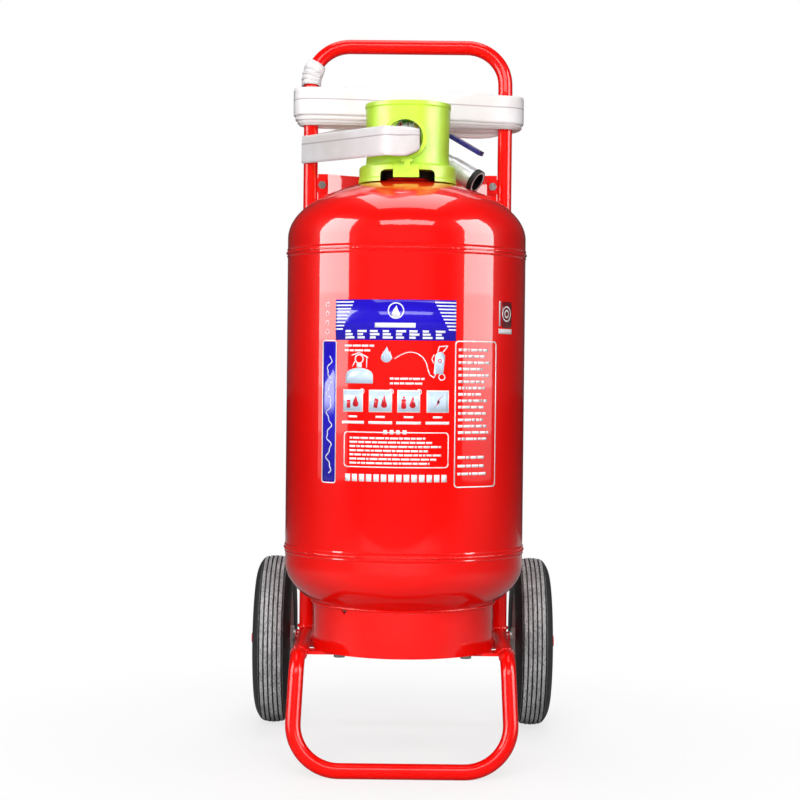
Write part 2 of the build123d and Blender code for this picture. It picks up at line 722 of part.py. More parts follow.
GUN_OUT = GUN_BACK * (-1 / GUN_BACK.length)
GUN_UP = Vector(0, 0, 1) - GUN_OUT * GUN_OUT.Z
GUN_FRAME = Plane(origin=MUZZLE, x_dir=GUN_UP, z_dir=GUN_OUT)


def on_gun(shape):
    """Places a piece drawn with the muzzle at 0 and the barrel towards -Z, lever towards +X."""
    return GUN_FRAME.location * shape


def gun_turned(points):
    """A turned piece of the gun: points are radius and distance back from the muzzle."""
    return turned([(r, -s) for r, s in points])


def gun_barrel():
    outside = gun_turned(
        [(0, 0), (BARREL_R, 0), (BARREL_R, 44), (13.5, 50), (13.5, BARREL_LENGTH), (0, BARREL_LENGTH)]
    )
    bore = gun_turned([(0, -1), (BORE_R, -1), (BORE_R, 42), (7, 48), (7, 70), (0, 70)])
    return on_gun(outside - bore)


def muzzle_ring():
    ring = gun_turned([(BARREL_R + 0.02, 0), (16.5, 0), (16.8, 3), (16.5, 7), (BARREL_R + 0.02, 7)])
    return on_gun(ring)


def gun_valve_body():
    """The ball valve's body, with the boss that guides the lever's stem."""
    body = gun_turned(
        [
            (0, BARREL_LENGTH + 0.05),
            (12, BARREL_LENGTH + 0.05),
            (14.5, BARREL_LENGTH + 4),
            (16, BALL_AT),
            (14.5, GUN_BODY_END - 4),
            (12, GUN_BODY_END),
            (0, GUN_BODY_END),
        ]
    )
    boss = Pos(11, 0, -BALL_AT) * Cylinder(7, 22, rotation=(0, 90, 0))
    body = body + boss - Pos(0, 0, -BALL_AT) * Sphere(BALL_R + RUNNING)
    body -= Pos(0, 0, -BALL_AT) * Cylinder(7, 60)
    return on_gun(body - Pos(20, 0, -BALL_AT) * Cylinder(4 + RUNNING, 40, rotation=(0, 90, 0)))


def gun_ball():
    """The ball and its stem, which the lever turns."""
    ball = Sphere(BALL_R) - Cylinder(6.9, 60)
    stem = along_x(4, 9, GUN_LEVER_HEIGHT + 7, 0, 0)
    return on_gun(Pos(0, 0, -BALL_AT) * (ball + stem))


def gun_lever():
    """The lever lies along the barrel, over it, and turns a quarter turn to the side."""
    plate = block(
        (GUN_LEVER_HEIGHT - LEVER_THICK / 2, -6, -BALL_AT - 8),
        (GUN_LEVER_HEIGHT + LEVER_THICK / 2, 6, -LEVER_TIP - 3),
    )
    hole = Pos(GUN_LEVER_HEIGHT, 0, -BALL_AT) * Cylinder(4.02, 20, rotation=(0, 90, 0))
    return on_gun(plate - hole)


def lever_sleeve():
    """The dipped plastic grip over the lever."""
    half = LEVER_THICK / 2 + 1.6
    outside = block(
        (GUN_LEVER_HEIGHT - half, -7.5, -BALL_AT + 12),
        (GUN_LEVER_HEIGHT + half, 7.5, -LEVER_TIP),
    )
    outside = fillet(outside.edges().filter_by(Axis.Z), 1.4)
    inside = block(
        (GUN_LEVER_HEIGHT - LEVER_THICK / 2 - 0.02, -6.02, -BALL_AT),
        (GUN_LEVER_HEIGHT + LEVER_THICK / 2 + 0.02, 6.02, -LEVER_TIP - 2.9),
    )
    return on_gun(outside - inside)


def lever_nut():
    low = GUN_LEVER_HEIGHT + LEVER_THICK / 2 + 0.05
    nut = Pos(low, 0, -BALL_AT) * Rot(0, 90, 0) * hexagon(10, 0, 4.5)
    return on_gun(nut - Pos(low, 0, -BALL_AT) * Cylinder(4.02, 20, rotation=(0, 90, 0)))


def gun_coupling():
    """The swivel nut behind the valve, with the tail that the hose is pushed on."""
    nut = Pos(0, 0, -GUN_TAIL_START) * hexagon(24, 0, GUN_TAIL_START - GUN_BODY_END - 0.05)
    tail_start = GUN_TAIL_START - 1
    tail = gun_turned([(0, tail_start), (9, tail_start), (9, GUN_TAIL_END), (0, GUN_TAIL_END)])
    return on_gun(nut + tail - Cylinder(6.5, 400))


def gun_ferrule():
    ferrule = gun_turned(
        [
            (9.05, GUN_TAIL_START + 1),
            (11.5, GUN_TAIL_START + 1),
            (12, GUN_TAIL_START + 8),
            (11.5, GUN_TAIL_END - 1),
            (9.05, GUN_TAIL_END - 1),
        ]
    )
    return on_gun(ferrule)


# ---- Hose ---------------------------------------------------------------------------------

def hose_winding():
    """The outer shape of the hose wound round both posts, higher on the left."""
    inner = TUBE_R + PACK_GAP
    outer = inner + PACK_THICK
    ring = SlotCenterToCenter(2 * POST_X, 2 * outer) - SlotCenterToCenter(2 * POST_X, 2 * inner)
    tall = Pos(0, POST_Y, 800) * extrude(ring, 160)
    reach = POST_X + outer
    sides = [
        (-reach, PACK_LOW_LEFT),
        (reach, PACK_LOW_RIGHT),
        (reach, PACK_TOP_RIGHT),
        (-reach, PACK_TOP_LEFT),
    ]
    side_view = make_face(Plane.XZ * Polyline(*sides, close=True))
    room = Pos(0, 2 * TANK_R, 0) * extrude(side_view, 4 * TANK_R, dir=(0, -1, 0))
    return (tall & room) - rod_along(handle_path(), TUBE_R + PACK_GAP - GAP)


def hose_lead_route():
    """From the outlet through the window, round a soft fold and to the left post's back."""
    route = [
        (0.0, -COUPLING_FRONT - 0.6, OUTLET_Z, 22.0),
        (4.0, -60.0, 814.5, 23.0),
        (8.0, -68.0, 814.0, 31.0),
        (7.0, -77.0, 812.5, 40.0),
        (-4.0, -87.0, 812.5, HOSE_WIDTH),
        (-28.0, -99.0, 813.0, HOSE_WIDTH),
        (-42.0, -83.0, 815.0, HOSE_WIDTH),
        (-95.0, 8.0, 820.0, HOSE_WIDTH),
    ]
    wrap = TUBE_R + PACK_GAP + HOSE_THICK / 2
    for i, degrees in enumerate((205, 180, 155, 130, 105)):
        angle = math.radians(degrees)
        x = -POST_X + wrap * math.cos(angle)
        y = POST_Y + wrap * math.sin(angle)
        route.append((x, y, 826.0 + 0.8 * i, HOSE_WIDTH))
    route.append((-95.0, POST_Y + wrap + 2.0, 834.5, HOSE_WIDTH))
    route.append((-40.0, POST_Y + wrap + 4.0, 842.0, HOSE_WIDTH))
    return route


def hose_lead():
    return band(hose_lead_route(), HOSE_THICK) - hose_winding()


def hose_tail():
    """The hose's last stretch, from the gun's tail up to the winding."""
    tail = gun_turned([(0, GUN_TAIL_END + 0.05), (9.5, GUN_TAIL_END + 0.05), (9.5, 146), (0, 146)])
    return on_gun(tail) - hose_winding()


def tie_tape():
    """The canvas tie wrapped on the handle's left corner."""
    wrap = rod_along(handle_path(), TUBE_R + 2.4) - rod_along(handle_path(), TUBE_R + 0.05)
    room = block((-2 * POST_X, 0, 922), (-100, 200, 950))
    return wrap & room


# ---- Export -------------------------------------------------------------------------------


def wheel_piece(shape, right):
    """A wheel piece on the right or the left end of the axle."""
    placed = wheel_place() * shape
    return placed if right else mirrored(placed)


def pieces():
    made = {
        "tank_barrel": tank_barrel(),
        "tank_upper_head": tank_upper_head(),
        "tank_lower_head": tank_lower_head(),
        "upper_seam_weld": seam_weld(SEAM_HIGH),
        "lower_seam_weld": seam_weld(SEAM_LOW),
        "base_ring": base_ring(),
        "neck_boss": neck_boss(),
        "dip_tube": dip_tube(),
        "powder_charge": powder_charge(),
        "push_handle_frame": push_handle_frame(),
        "right_side_rail": side_rail(),
        "left_side_rail": mirrored(side_rail()),
        "foot_loop": foot_loop(),
        "front_cradle_bar": cradle_bar(BAR_YS[0]),
        "rear_cradle_bar": cradle_bar(BAR_YS[1]),
        "ring_clips": ring_clips(),
        "ring_bolts": ring_bolts(),
        "back_plate": back_plate(),
        "post_tabs": post_tabs(),
        "plate_bolts": plate_bolts(),
        "plate_nuts": plate_nuts(),
        "axle_tube": axle_tube(),
        "axle": axle(),
        "axle_washers": axle_washers(),
        "split_pins": split_pins(),
        "valve_body": valve_body(),
        "neck_gasket": neck_gasket(),
        "valve_stem": valve_stem(),
        "valve_spring": valve_spring(),
        "valve_lever": valve_lever(),
        "lever_pivot": lever_pivot(),
        "safety_pin": safety_pin(),
        "gauge_case": gauge_case(),
        "gauge_dial": gauge_dial(),
        "gauge_needle": gauge_needle(),
        "gauge_lens": gauge_lens(),
        "outlet_coupling": outlet_coupling(),
        "hose_clamp": hose_clamp(),
        "valve_guard": valve_guard(),
        "guard_tab": guard_tab(),
        "clamp_ring": clamp_ring(),
        "gun_barrel": gun_barrel(),
        "muzzle_ring": muzzle_ring(),
        "gun_valve_body": gun_valve_body(),
        "gun_ball": gun_ball(),
        "gun_lever": gun_lever(),
        "lever_sleeve": lever_sleeve(),
        "lever_nut": lever_nut(),
        "gun_coupling": gun_coupling(),
        "gun_ferrule": gun_ferrule(),
        "hose_winding": hose_winding(),
        "hose_lead": hose_lead(),
        "hose_tail": hose_tail(),
        "tie_tape": tie_tape(),
    }
    wheel = {"tyre": tyre(), "wheel_hub": wheel_hub(), "wheel_bush": wheel_bush()}
    for name, shape in wheel.items():
        made["right_" + name] = wheel_piece(shape, True)
        made["left_" + name] = wheel_piece(shape, False)
    return made


os.makedirs("parts", exist_ok=True)
for node, shape in pieces().items():
    export_step(Pos(0, TANK_Y, 0) * shape, f"parts/{node}.step")
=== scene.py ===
import json
import math
import random

import bmesh
import bpy
from mathutils import Matrix, Vector

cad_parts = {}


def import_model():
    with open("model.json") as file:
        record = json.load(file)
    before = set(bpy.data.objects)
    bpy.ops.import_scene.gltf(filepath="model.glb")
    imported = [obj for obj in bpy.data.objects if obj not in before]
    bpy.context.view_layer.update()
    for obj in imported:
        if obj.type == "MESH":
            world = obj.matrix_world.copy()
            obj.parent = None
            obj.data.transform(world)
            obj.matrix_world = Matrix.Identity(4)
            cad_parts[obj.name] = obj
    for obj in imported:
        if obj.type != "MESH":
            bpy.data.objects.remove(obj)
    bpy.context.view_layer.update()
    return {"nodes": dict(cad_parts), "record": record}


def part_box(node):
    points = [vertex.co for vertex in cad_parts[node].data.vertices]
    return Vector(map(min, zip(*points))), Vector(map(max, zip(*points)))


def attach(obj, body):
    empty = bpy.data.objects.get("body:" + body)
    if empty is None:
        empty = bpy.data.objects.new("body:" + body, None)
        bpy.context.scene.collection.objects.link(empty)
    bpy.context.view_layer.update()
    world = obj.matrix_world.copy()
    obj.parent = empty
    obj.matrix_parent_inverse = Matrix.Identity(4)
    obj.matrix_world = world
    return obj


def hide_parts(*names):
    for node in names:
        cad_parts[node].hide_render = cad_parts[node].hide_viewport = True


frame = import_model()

# A wheeled dry-powder fire extinguisher: materials, hose, tie, label, welds and studio for the
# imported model. Metres, +Z up, and the front faces -Y.

RANDOM = random.Random(35)
UP = Vector((0, 0, 1))
BACK = Vector((0, 1, 0))

BARREL_LOW, BARREL_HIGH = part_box("tank_barrel")
TANK_R = (BARREL_HIGH.x - BARREL_LOW.x) / 2
TANK_Y = (BARREL_HIGH.y + BARREL_LOW.y) / 2
RAIL_LOW, RAIL_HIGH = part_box("right_side_rail")
TUBE_R = (RAIL_HIGH.x - RAIL_LOW.x) / 2
POST_X = (RAIL_HIGH.x + RAIL_LOW.x) / 2
RAIL_Z = (RAIL_HIGH.z + RAIL_LOW.z) / 2
POSTS_BEHIND = 0.112  # from the tank's axis back to the posts
POST_Y = TANK_Y + POSTS_BEHIND
TYRE_LOW, TYRE_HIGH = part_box("right_tyre")
WHEEL_X = (TYRE_HIGH.x + TYRE_LOW.x) / 2
WHEEL_R = (TYRE_HIGH.z - TYRE_LOW.z) / 2
WHEEL_Y = (TYRE_HIGH.y + TYRE_LOW.y) / 2
HANDLE_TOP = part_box("push_handle_frame")[1].z


# ---- Mesh helpers -------------------------------------------------------------------------


def piece(name, mesh, look):
    """A new smooth-shaded object that rides on the trolley."""
    made = bpy.data.objects.new(name, mesh)
    bpy.context.scene.collection.objects.link(made)
    mesh.materials.append(look)
    mesh.polygons.foreach_set("use_smooth", [True] * len(mesh.polygons))
    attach(made, "root")
    return made


def mesh_from(name, points, faces):
    """A mesh of the given points and faces."""
    mesh = bpy.data.meshes.new(name)
    mesh.from_pydata([tuple(p) for p in points], [], faces)
    mesh.update()
    return mesh


def route_line(points):
    """Points along a smooth NURBS route through the given control points."""
    curve = bpy.data.curves.new("route", "CURVE")
    curve.dimensions = "3D"
    spline = curve.splines.new("NURBS")
    spline.points.add(len(points) - 1)
    for spot, point in zip(spline.points, points):
        spot.co = (*point, 1.0)
    spline.order_u = 3
    spline.use_endpoint_u = True
    spline.resolution_u = 10
    holder = bpy.data.objects.new("route", curve)
    line = bpy.data.meshes.new_from_object(holder)
    path = [vertex.co.copy() for vertex in line.vertices]
    bpy.data.objects.remove(holder)
    return path


def swept(line, sections):
    """Points and faces of a closed form: one closed section for each point of the line."""
    count = len(sections[0])
    points = [point for section in sections for point in section]
    faces = []
    for i in range(len(line) - 1):
        for j in range(count):
            k = (j + 1) % count
            faces.append((i * count + j, i * count + k, (i + 1) * count + k, (i + 1) * count + j))
    last = (len(line) - 1) * count
    faces.append(tuple(reversed(range(count))))
    faces.append(tuple(last + j for j in range(count)))
    return points, faces


def directions(line):
    """The direction of travel at each point."""
    found = []
    for i in range(len(line)):
        ahead = line[min(i + 1, len(line) - 1)]
        behind = line[max(i - 1, 0)]
        found.append((ahead - behind).normalized())
    return found


# ---- Materials ----------------------------------------------------------------------------


class Look:
    """A procedural material: a Principled shader fed by texture nodes in object coordinates."""

    def __init__(self, name, colour, rough, **inputs):
        self.material = bpy.data.materials.new("look_" + name)
        self.material.use_nodes = True
        self.tree = self.material.node_tree
        self.shader = self.tree.nodes["Principled BSDF"]
        self.shader.inputs["Base Color"].default_value = (*colour, 1.0)
        self.shader.inputs["Roughness"].default_value = rough
        for socket, value in inputs.items():
            self.shader.inputs[socket.replace("_", " ")].default_value = value
        self.place = self.add("ShaderNodeTexCoord").outputs["Object"]
        self.height = None

    def add(self, kind):
        """A new node of a kind."""
        return self.tree.nodes.new(kind)

    def put(self, socket, value):
        """Feeds a socket with a number or with another socket."""
        if hasattr(value, "is_linked"):
            self.tree.links.new(value, socket)
        else:
            socket.default_value = value

    def stretched(self, scale, shift=(0, 0, 0)):
        """Object coordinates, shifted and then scaled along each axis."""
        node = self.add("ShaderNodeMapping")
        self.tree.links.new(self.place, node.inputs["Vector"])
        node.inputs["Scale"].default_value = scale
        node.inputs["Location"].default_value = tuple(a * b for a, b in zip(shift, scale))
        return node.outputs["Vector"]

    def noise(self, scale, detail=3.0, place=None):
        """Noise from 0 to 1, with a number of lumps in each metre."""
        node = self.add("ShaderNodeTexNoise")
        self.tree.links.new(place or self.place, node.inputs["Vector"])
        node.inputs["Scale"].default_value = scale
        node.inputs["Detail"].default_value = detail
        return node.outputs["Fac"]

    def math(self, operation, a, b=0.0):
        """A calculation with one or two numbers or sockets."""
        node = self.add("ShaderNodeMath")
        node.operation = operation
        self.put(node.inputs[0], a)
        self.put(node.inputs[1], b)
        return node.outputs[0]

    def vector(self, operation, a, b=(0, 0, 0)):
        """A vector calculation; returns the node, as its outputs depend on the operation."""
        node = self.add("ShaderNodeVectorMath")
        node.operation = operation
        self.put(node.inputs[0], a)
        self.put(node.inputs[1], b)
        return node

    def axis(self, name, place=None):
        """One coordinate, by its letter."""
        node = self.add("ShaderNodeSeparateXYZ")
        self.tree.links.new(place or self.place, node.inputs[0])
        return node.outputs[name]

    def step(self, value, low, high, to_low=0.0, to_high=1.0):
        """A smooth change from to_low to to_high as the value goes from low to high."""
        node = self.add("ShaderNodeMapRange")
        node.interpolation_type = "SMOOTHSTEP"
        for socket, number in zip(node.inputs[1:5], (low, high, to_low, to_high)):
            self.put(socket, number)
        self.put(node.inputs[0], value)
        return node.outputs[0]

    def blend(self, factor, first, second):
        """A colour between two, by a factor."""
        node = self.add("ShaderNodeMix")
        node.data_type = "RGBA"
        self.put(node.inputs[0], factor)
        for socket, colour in ((node.inputs[6], first), (node.inputs[7], second)):
            self.put(socket, colour if hasattr(colour, "is_linked") else (*colour, 1.0))
        return node.outputs[2]

    def colour(self, value):
        """Feeds the base colour."""
        self.tree.links.new(value, self.shader.inputs["Base Color"])

    def rough(self, value):
        """Feeds the roughness."""
        self.tree.links.new(value, self.shader.inputs["Roughness"])

    def bump(self, height, depth):
        """Relief in metres; a second call adds to the first."""
        node = self.add("ShaderNodeBump")
        node.inputs["Strength"].default_value = 1.0
        node.inputs["Distance"].default_value = depth
        self.tree.links.new(height, node.inputs["Height"])
        if self.height is not None:
            self.tree.links.new(self.height, node.inputs["Normal"])
        self.height = node.outputs["Normal"]
        self.tree.links.new(self.height, self.shader.inputs["Normal"])


BASE_GLOSS = 0.08  # low, because the clear coat carries the reflections


def painted(name, colour, dark, coat=1.0):
    """Gloss paint over steel: faint orange peel, slow changes of tone and slightly uneven gloss."""
    look = Look(name, colour, 0.3, Coat_Weight=coat, Coat_Roughness=0.03)
    look.shader.inputs["Specular IOR Level"].default_value = BASE_GLOSS
    look.colour(look.blend(look.step(look.noise(5.0, 1.0), 0.3, 0.7), colour, dark))
    look.rough(look.step(look.noise(60.0, 4.0), 0.2, 0.8, 0.28, 0.34))
    look.bump(look.noise(420.0, 2.0), 0.00001)
    return look.material


def brushed(name, colour, rough):
    """Bare metal with fine grain across X and slight staining."""
    look = Look(name, colour, rough, Metallic=1.0)
    grain = look.noise(1.0, 4.0, look.stretched((900, 60, 60)))
    stain = look.step(look.noise(45.0, 4.0), 0.4, 0.75)
    look.colour(look.blend(stain, colour, tuple(c * 0.72 for c in colour)))
    look.rough(look.step(grain, 0.3, 0.7, rough * 0.75, rough * 1.35))
    look.bump(grain, 0.00003)
    return look.material


ALUMINIUM = (0.86, 0.87, 0.89)
BORE_R = 0.012  # the gun_muzzle mount's


def gun_metal(name):
    """The spray gun's barrel: brushed aluminium outside, and a bore painted near-black as shade."""
    tail, muzzle = [sum(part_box(node), Vector()) / 2 for node in ("gun_ferrule", "muzzle_ring")]
    look = Look(name, ALUMINIUM, 0.42, Metallic=0.75)
    stain = look.step(look.noise(60.0, 4.0), 0.4, 0.75)
    outside = look.blend(stain, ALUMINIUM, tuple(c * 0.75 for c in ALUMINIUM))
    from_muzzle = look.vector("SUBTRACT", look.place, muzzle).outputs["Vector"]
    crossed = look.vector("CROSS_PRODUCT", from_muzzle, (muzzle - tail).normalized())
    radius = look.vector("LENGTH", crossed.outputs["Vector"]).outputs["Value"]
    # Inside the bore the colour is painted near-black shade; outside it is the metal's own colour.
    clear_of_bore_shade = look.step(radius, BORE_R + 0.0002, BORE_R + 0.0008)
    look.colour(look.blend(clear_of_bore_shade, (0.012, 0.011, 0.011), outside))
    grain = look.noise(1.0, 4.0, look.stretched((120, 900, 900)))
    look.rough(look.step(grain, 0.3, 0.7, 0.32, 0.5))
    look.bump(grain, 0.00002)
    return look.material


def moulded(name, colour, rough, coat=0.0, grain=0.00003):
    """Moulded plastic or rubber: fine grain and slight unevenness of colour."""
    look = Look(name, colour, rough, Coat_Weight=coat, Coat_Roughness=0.2)
    darker = tuple(c * 0.86 for c in colour)
    look.colour(look.blend(look.step(look.noise(30.0, 4.0), 0.35, 0.7), colour, darker))
    look.rough(look.step(look.noise(150.0, 3.0), 0.3, 0.7, rough * 0.85, rough * 1.2))
    look.bump(look.noise(1500.0, 2.0), grain)
    return look.material


TREAD_CROWN = 9.77  # how fast the tread falls away from its middle: metres per square metre


def tyre_rubber(name, side):
    """Black walls, and a tread whose ribs are worn pale and scuffed along the way they roll."""
    look = Look(name, (0.012, 0.012, 0.013), 0.62)
    centred = look.stretched((1, 1, 1), (-side * WHEEL_X, -WHEEL_Y, -WHEEL_R))
    y, z = look.axis("Y", centred), look.axis("Z", centred)
    squares = look.math("ADD", look.math("MULTIPLY", y, y), look.math("MULTIPLY", z, z))
    radius = look.math("SQRT", squares)
    across = look.axis("X", centred)
    crown = look.math("MULTIPLY", look.math("MULTIPLY", across, across), TREAD_CROWN)
    depth = look.math("SUBTRACT", look.math("SUBTRACT", WHEEL_R, crown), radius)
    worn = look.step(depth, 0.0005, 0.0014, 1.0, 0.0)
    scuff = look.step(look.noise(1.0, 6.0, look.stretched((900, 240, 240))), 0.3, 0.6, 0.3, 1.0)
    patches = look.step(look.noise(38.0, 5.0), 0.3, 0.7, 0.6, 1.0)
    pale = look.math("MULTIPLY", worn, look.math("MULTIPLY", scuff, patches))
    dust = look.math("MULTIPLY", look.step(look.noise(70.0, 5.0), 0.5, 0.8), 0.16)
    base = look.blend(dust, (0.011, 0.011, 0.012), (0.09, 0.088, 0.085))
    look.colour(look.blend(pale, base, (0.5, 0.51, 0.515)))
    look.rough(look.step(pale, 0.0, 1.0, 0.5, 0.9))
    look.bump(look.noise(700.0, 4.0), 0.00012)
    return look.material


def woven(name, colour, shade, edge, soil):
    """Lay-flat hose: a tight weave in two directions, with slightly soiled patches."""
    look = Look(name, colour, 0.82, Sheen_Weight=0.25)
    thread = 4200.0  # radians of weave in a metre
    along = look.math("ADD", look.axis("X"), look.axis("Y"))
    warp = look.math("SINE", look.math("MULTIPLY", along, thread))
    weft = look.math("SINE", look.math("MULTIPLY", look.axis("Z"), thread))
    weave = look.math("MULTIPLY", warp, weft)
    patch = look.step(look.noise(14.0, 4.0), 0.42, 0.72)
    plain = look.blend(look.math("MULTIPLY", patch, soil), colour, shade)
    thread_shade = look.step(weave, -1.0, 1.0, 0.0, 0.22)
    look.colour(look.blend(thread_shade, plain, edge))
    look.bump(weave, 0.00018)
    look.bump(look.noise(60.0, 3.0), 0.0004)
    return look.material


def printed(name, colour):
    """Vinyl or ink: nearly flat colour, slightly mottled, under the paint's own gloss."""
    look = Look(name, colour, 0.34, Coat_Weight=0.8, Coat_Roughness=0.035)
    look.shader.inputs["Specular IOR Level"].default_value = BASE_GLOSS
    darker = tuple(c * 0.9 for c in colour)
    look.colour(look.blend(look.step(look.noise(120.0, 3.0), 0.35, 0.7), colour, darker))
    look.bump(look.noise(500.0, 2.0), 0.00001)
    return look.material


def glass(name):
    """Clear glass with faint smears."""
    look = Look(name, (0.97, 0.99, 0.98), 0.04, Transmission_Weight=1.0, IOR=1.45)
    look.rough(look.step(look.noise(200.0, 4.0), 0.4, 0.8, 0.03, 0.09))
    return look.material


PAINT = (0.86, 0.003, 0.001)
PAINT_DARK = (0.8, 0.002, 0.001)
RED = painted("red_paint", PAINT, PAINT_DARK)
TUBE_RED = painted("tube_paint", PAINT, PAINT_DARK, 0.45)  # a thinner coat on the frame's tubes
TUBE_NODES = ("push_handle_frame", "left_side_rail", "right_side_rail", "foot_loop")
WHITE_HOSE = woven("white_canvas", (0.86, 0.84, 0.86), (0.68, 0.63, 0.6), (0.7, 0.66, 0.64), 0.55)
# Painted warm tan shade for the underside of the hose's lower fold, seen from below.
TAN_UNDERSIDE_SHADE = woven("hose_underside_shade", (0.58, 0.38, 0.2), (0.42, 0.26, 0.14), (0.46, 0.3, 0.17), 0.6)
# A painted shade line along the crease on each face of the hose.
CREASE_SHADE = woven("hose_crease_shade", (0.52, 0.44, 0.47), (0.45, 0.38, 0.4), (0.45, 0.38, 0.4), 0.5)
LOOKS = {
    "red_paint": RED,
    "zinc_steel": brushed("zinc_steel", (0.62, 0.62, 0.6), 0.36),
    "hub_paint": painted("hub_paint", (0.5, 0.5, 0.49), (0.4, 0.4, 0.39), 0.3),
    "nylon": moulded("nylon", (0.78, 0.76, 0.7), 0.5),
    "powder": moulded("powder", (0.86, 0.8, 0.6), 0.95, 0.0, 0.0006),
    "brass": brushed("brass", (0.72, 0.5, 0.2), 0.3),
    "black_rubber": moulded("black_rubber", (0.005, 0.005, 0.005), 0.7, 0.0, 0.00004),
    "black_paint": painted("black_paint", (0.012, 0.01, 0.01), (0.02, 0.012, 0.012), 0.6),
    "chrome": brushed("chrome", (0.75, 0.76, 0.77), 0.12),
    "dial_white": printed("dial_white", (0.85, 0.85, 0.84)),
    "needle_black": moulded("needle_black", (0.01, 0.01, 0.01), 0.4),
    "lens": glass("lens"),
    "lime_plastic": moulded("lime_plastic", (0.55, 0.88, 0.035), 0.4, 0.08),
    "aluminium": gun_metal("aluminium"),
    "blue_plastic": moulded("blue_plastic", (0.014, 0.007, 0.17), 0.3, 0.5, 0.00001),
    "white_canvas": WHITE_HOSE,
}


def dress_cad_nodes():
    """Every carried-over node gets its slot's material; tyres and frame tubes get their own."""
    for part in frame["record"]["subparts"]:
        name, slot = part["node"], part["material_slot"]
        if slot == "tyre_rubber":
            look = tyre_rubber(name + "_rubber", 1 if name.startswith("right") else -1)
        elif name in TUBE_NODES:
            look = TUBE_RED
        else:
            look = LOOKS[slot]
        mesh = frame["nodes"][name].data
        for i in range(len(mesh.materials)):
            mesh.materials[i] = look


dress_cad_nodes()


# ---- Hose ---------------------------------------------------------------------------------

HOSE_WIDTH = 0.042
HOSE_THICK = 0.0024
FACE_STEPS = 12
CREASE_HALF = 0.04  # half the painted crease shade line's width, as a share of the hose's half width


def face_heights(crease):
    """Places down a face of the hose, as shares of its half width, with two close at the crease."""
    even = [1 - 2 * (j + 0.5) / FACE_STEPS for j in range(FACE_STEPS)]
    clear = [v for v in even if abs(v - crease) > 2 * CREASE_HALF]
    return sorted(clear + [crease + CREASE_HALF, crease - CREASE_HALF], reverse=True)


def flat_section(width, thick, heights):
    """A lay-flat hose's section, (across, up), down one face and up the other."""
    outline = []
    for side, places in ((1, heights), (-1, heights[::-1])):
        for v in places:
            fold = (1 - abs(v) ** 5) ** 0.5
            outline.append((side * thick / 2 * fold, v * width / 2))
    return outline


def flat_hose(name, line, widths, crease, thick):
    """A flat hose stood on edge along a line; its lower fold has painted tan shade, each face a
    painted crease shade line.
    """
    heights = face_heights(crease)
    sections = []
    for point, going, width in zip(line, directions(line), widths):
        across = Vector((going.y, -going.x, 0)).normalized()
        up = across.cross(going).normalized()
        up = up if up.z > 0 else -up
        outline = flat_section(width, thick, heights)
        sections.append([point + across * n + up * v for n, v in outline])
    points, faces = swept(line, sections)
    mesh = mesh_from(name, points, faces)
    made = piece(name, mesh, WHITE_HOSE)
    mesh.materials.append(TAN_UNDERSIDE_SHADE)
    mesh.materials.append(CREASE_SHADE)
    down = len(heights)
    first = heights.index(crease + CREASE_HALF)
    # Slot 1 is the lower fold's painted tan shade, and slot 2 the painted shade line at each crease.
    look_at = {down - 1: 1, first: 2, 2 * down - 2 - first: 2}
    for i, face in enumerate(mesh.polygons):
        if i < len(faces) - 2:  # the last two faces close the ends
            face.material_index = look_at.get(i % (2 * down), 0)
    return made


def on_tank(points):
    """Route points given from the tank's axis, in the frame."""
    return [Vector((x, y + TANK_Y, z)) for x, y, z in points]


THROAT_WIDTH = 0.022  # as wide as the coupling it is clamped to
OPENS_AT = 0.022  # how far along the hose its throat ends
OPENING_RUN = 0.03  # how far it then goes to its full width
LEAD_CREASE = 0.36
POST_GAP = 0.002  # from a post to the middle of the hose against it


def lead_route():
    """From the outlet, out of the window, round the left post and up behind the winding."""
    route = [
        (0.0, -0.0497, 0.812),
        (0.005, -0.057, 0.8135),
        (0.013, -0.063, 0.8175),
        (0.0155, -0.071, 0.8205),
        (0.006, -0.0785, 0.8185),
        (-0.009, -0.0865, 0.8155),
        (-0.0255, -0.0955, 0.8155),
        (-0.0315, -0.0935, 0.8155),
        (-0.044, -0.078, 0.8158),
        (-0.095, 0.008, 0.820),
    ]
    wrap = TUBE_R + POST_GAP
    for i, degrees in enumerate((205, 180, 155, 130, 105)):
        angle = math.radians(degrees)
        x = -POST_X + wrap * math.cos(angle)
        route.append((x, POSTS_BEHIND + wrap * math.sin(angle), 0.826 + 0.0008 * i))
    route.append((-0.095, 0.1255, 0.838))
    route.append((-0.062, 0.1283, 0.850))
    route.append((-0.030, 0.1285, 0.864))
    return on_tank(route)


def hose_lead():
    """The stretch from the outlet coupling to the winding: a free hose, shown from end to end."""
    line = route_line(lead_route())
    widths = []
    gone = 0.0
    for before, point in zip([line[0]] + line, line):
        gone += (point - before).length
        opening = min(1.0, max(0.0, (gone - OPENS_AT) / OPENING_RUN))
        widths.append(THROAT_WIDTH + (HOSE_WIDTH - THROAT_WIDTH) * opening**0.6)
    hose = flat_hose("hose_lead_woven", line, widths, LEAD_CREASE, HOSE_THICK)
    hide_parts("hose_lead")


LAPS = 5
WOUND_THICK = 0.0021  # pressed thinner than the free hose
WOUND_CREASE = 0.14
LAYER_PITCH = 0.0026  # from lap to lap
FIRST_LAYER = TUBE_R + 0.0022  # from a post's axis to the innermost lap's middle
LEFT_Z = 0.879  # the innermost lap's middle, at the left post
RIGHT_Z = 0.8755
LAP_RISE = (0.0, 0.0005, 0.003, 0.007, 0.0135)  # each lap's height above the innermost
LAP_SAG = (0.0, 0.0, 0.003, 0.0115, 0.0165)  # how far its run behind the posts sags
SAG_X = 0.085  # where it sags most
SAG_REACH = 0.075
BEHIND_DROP = 0.002


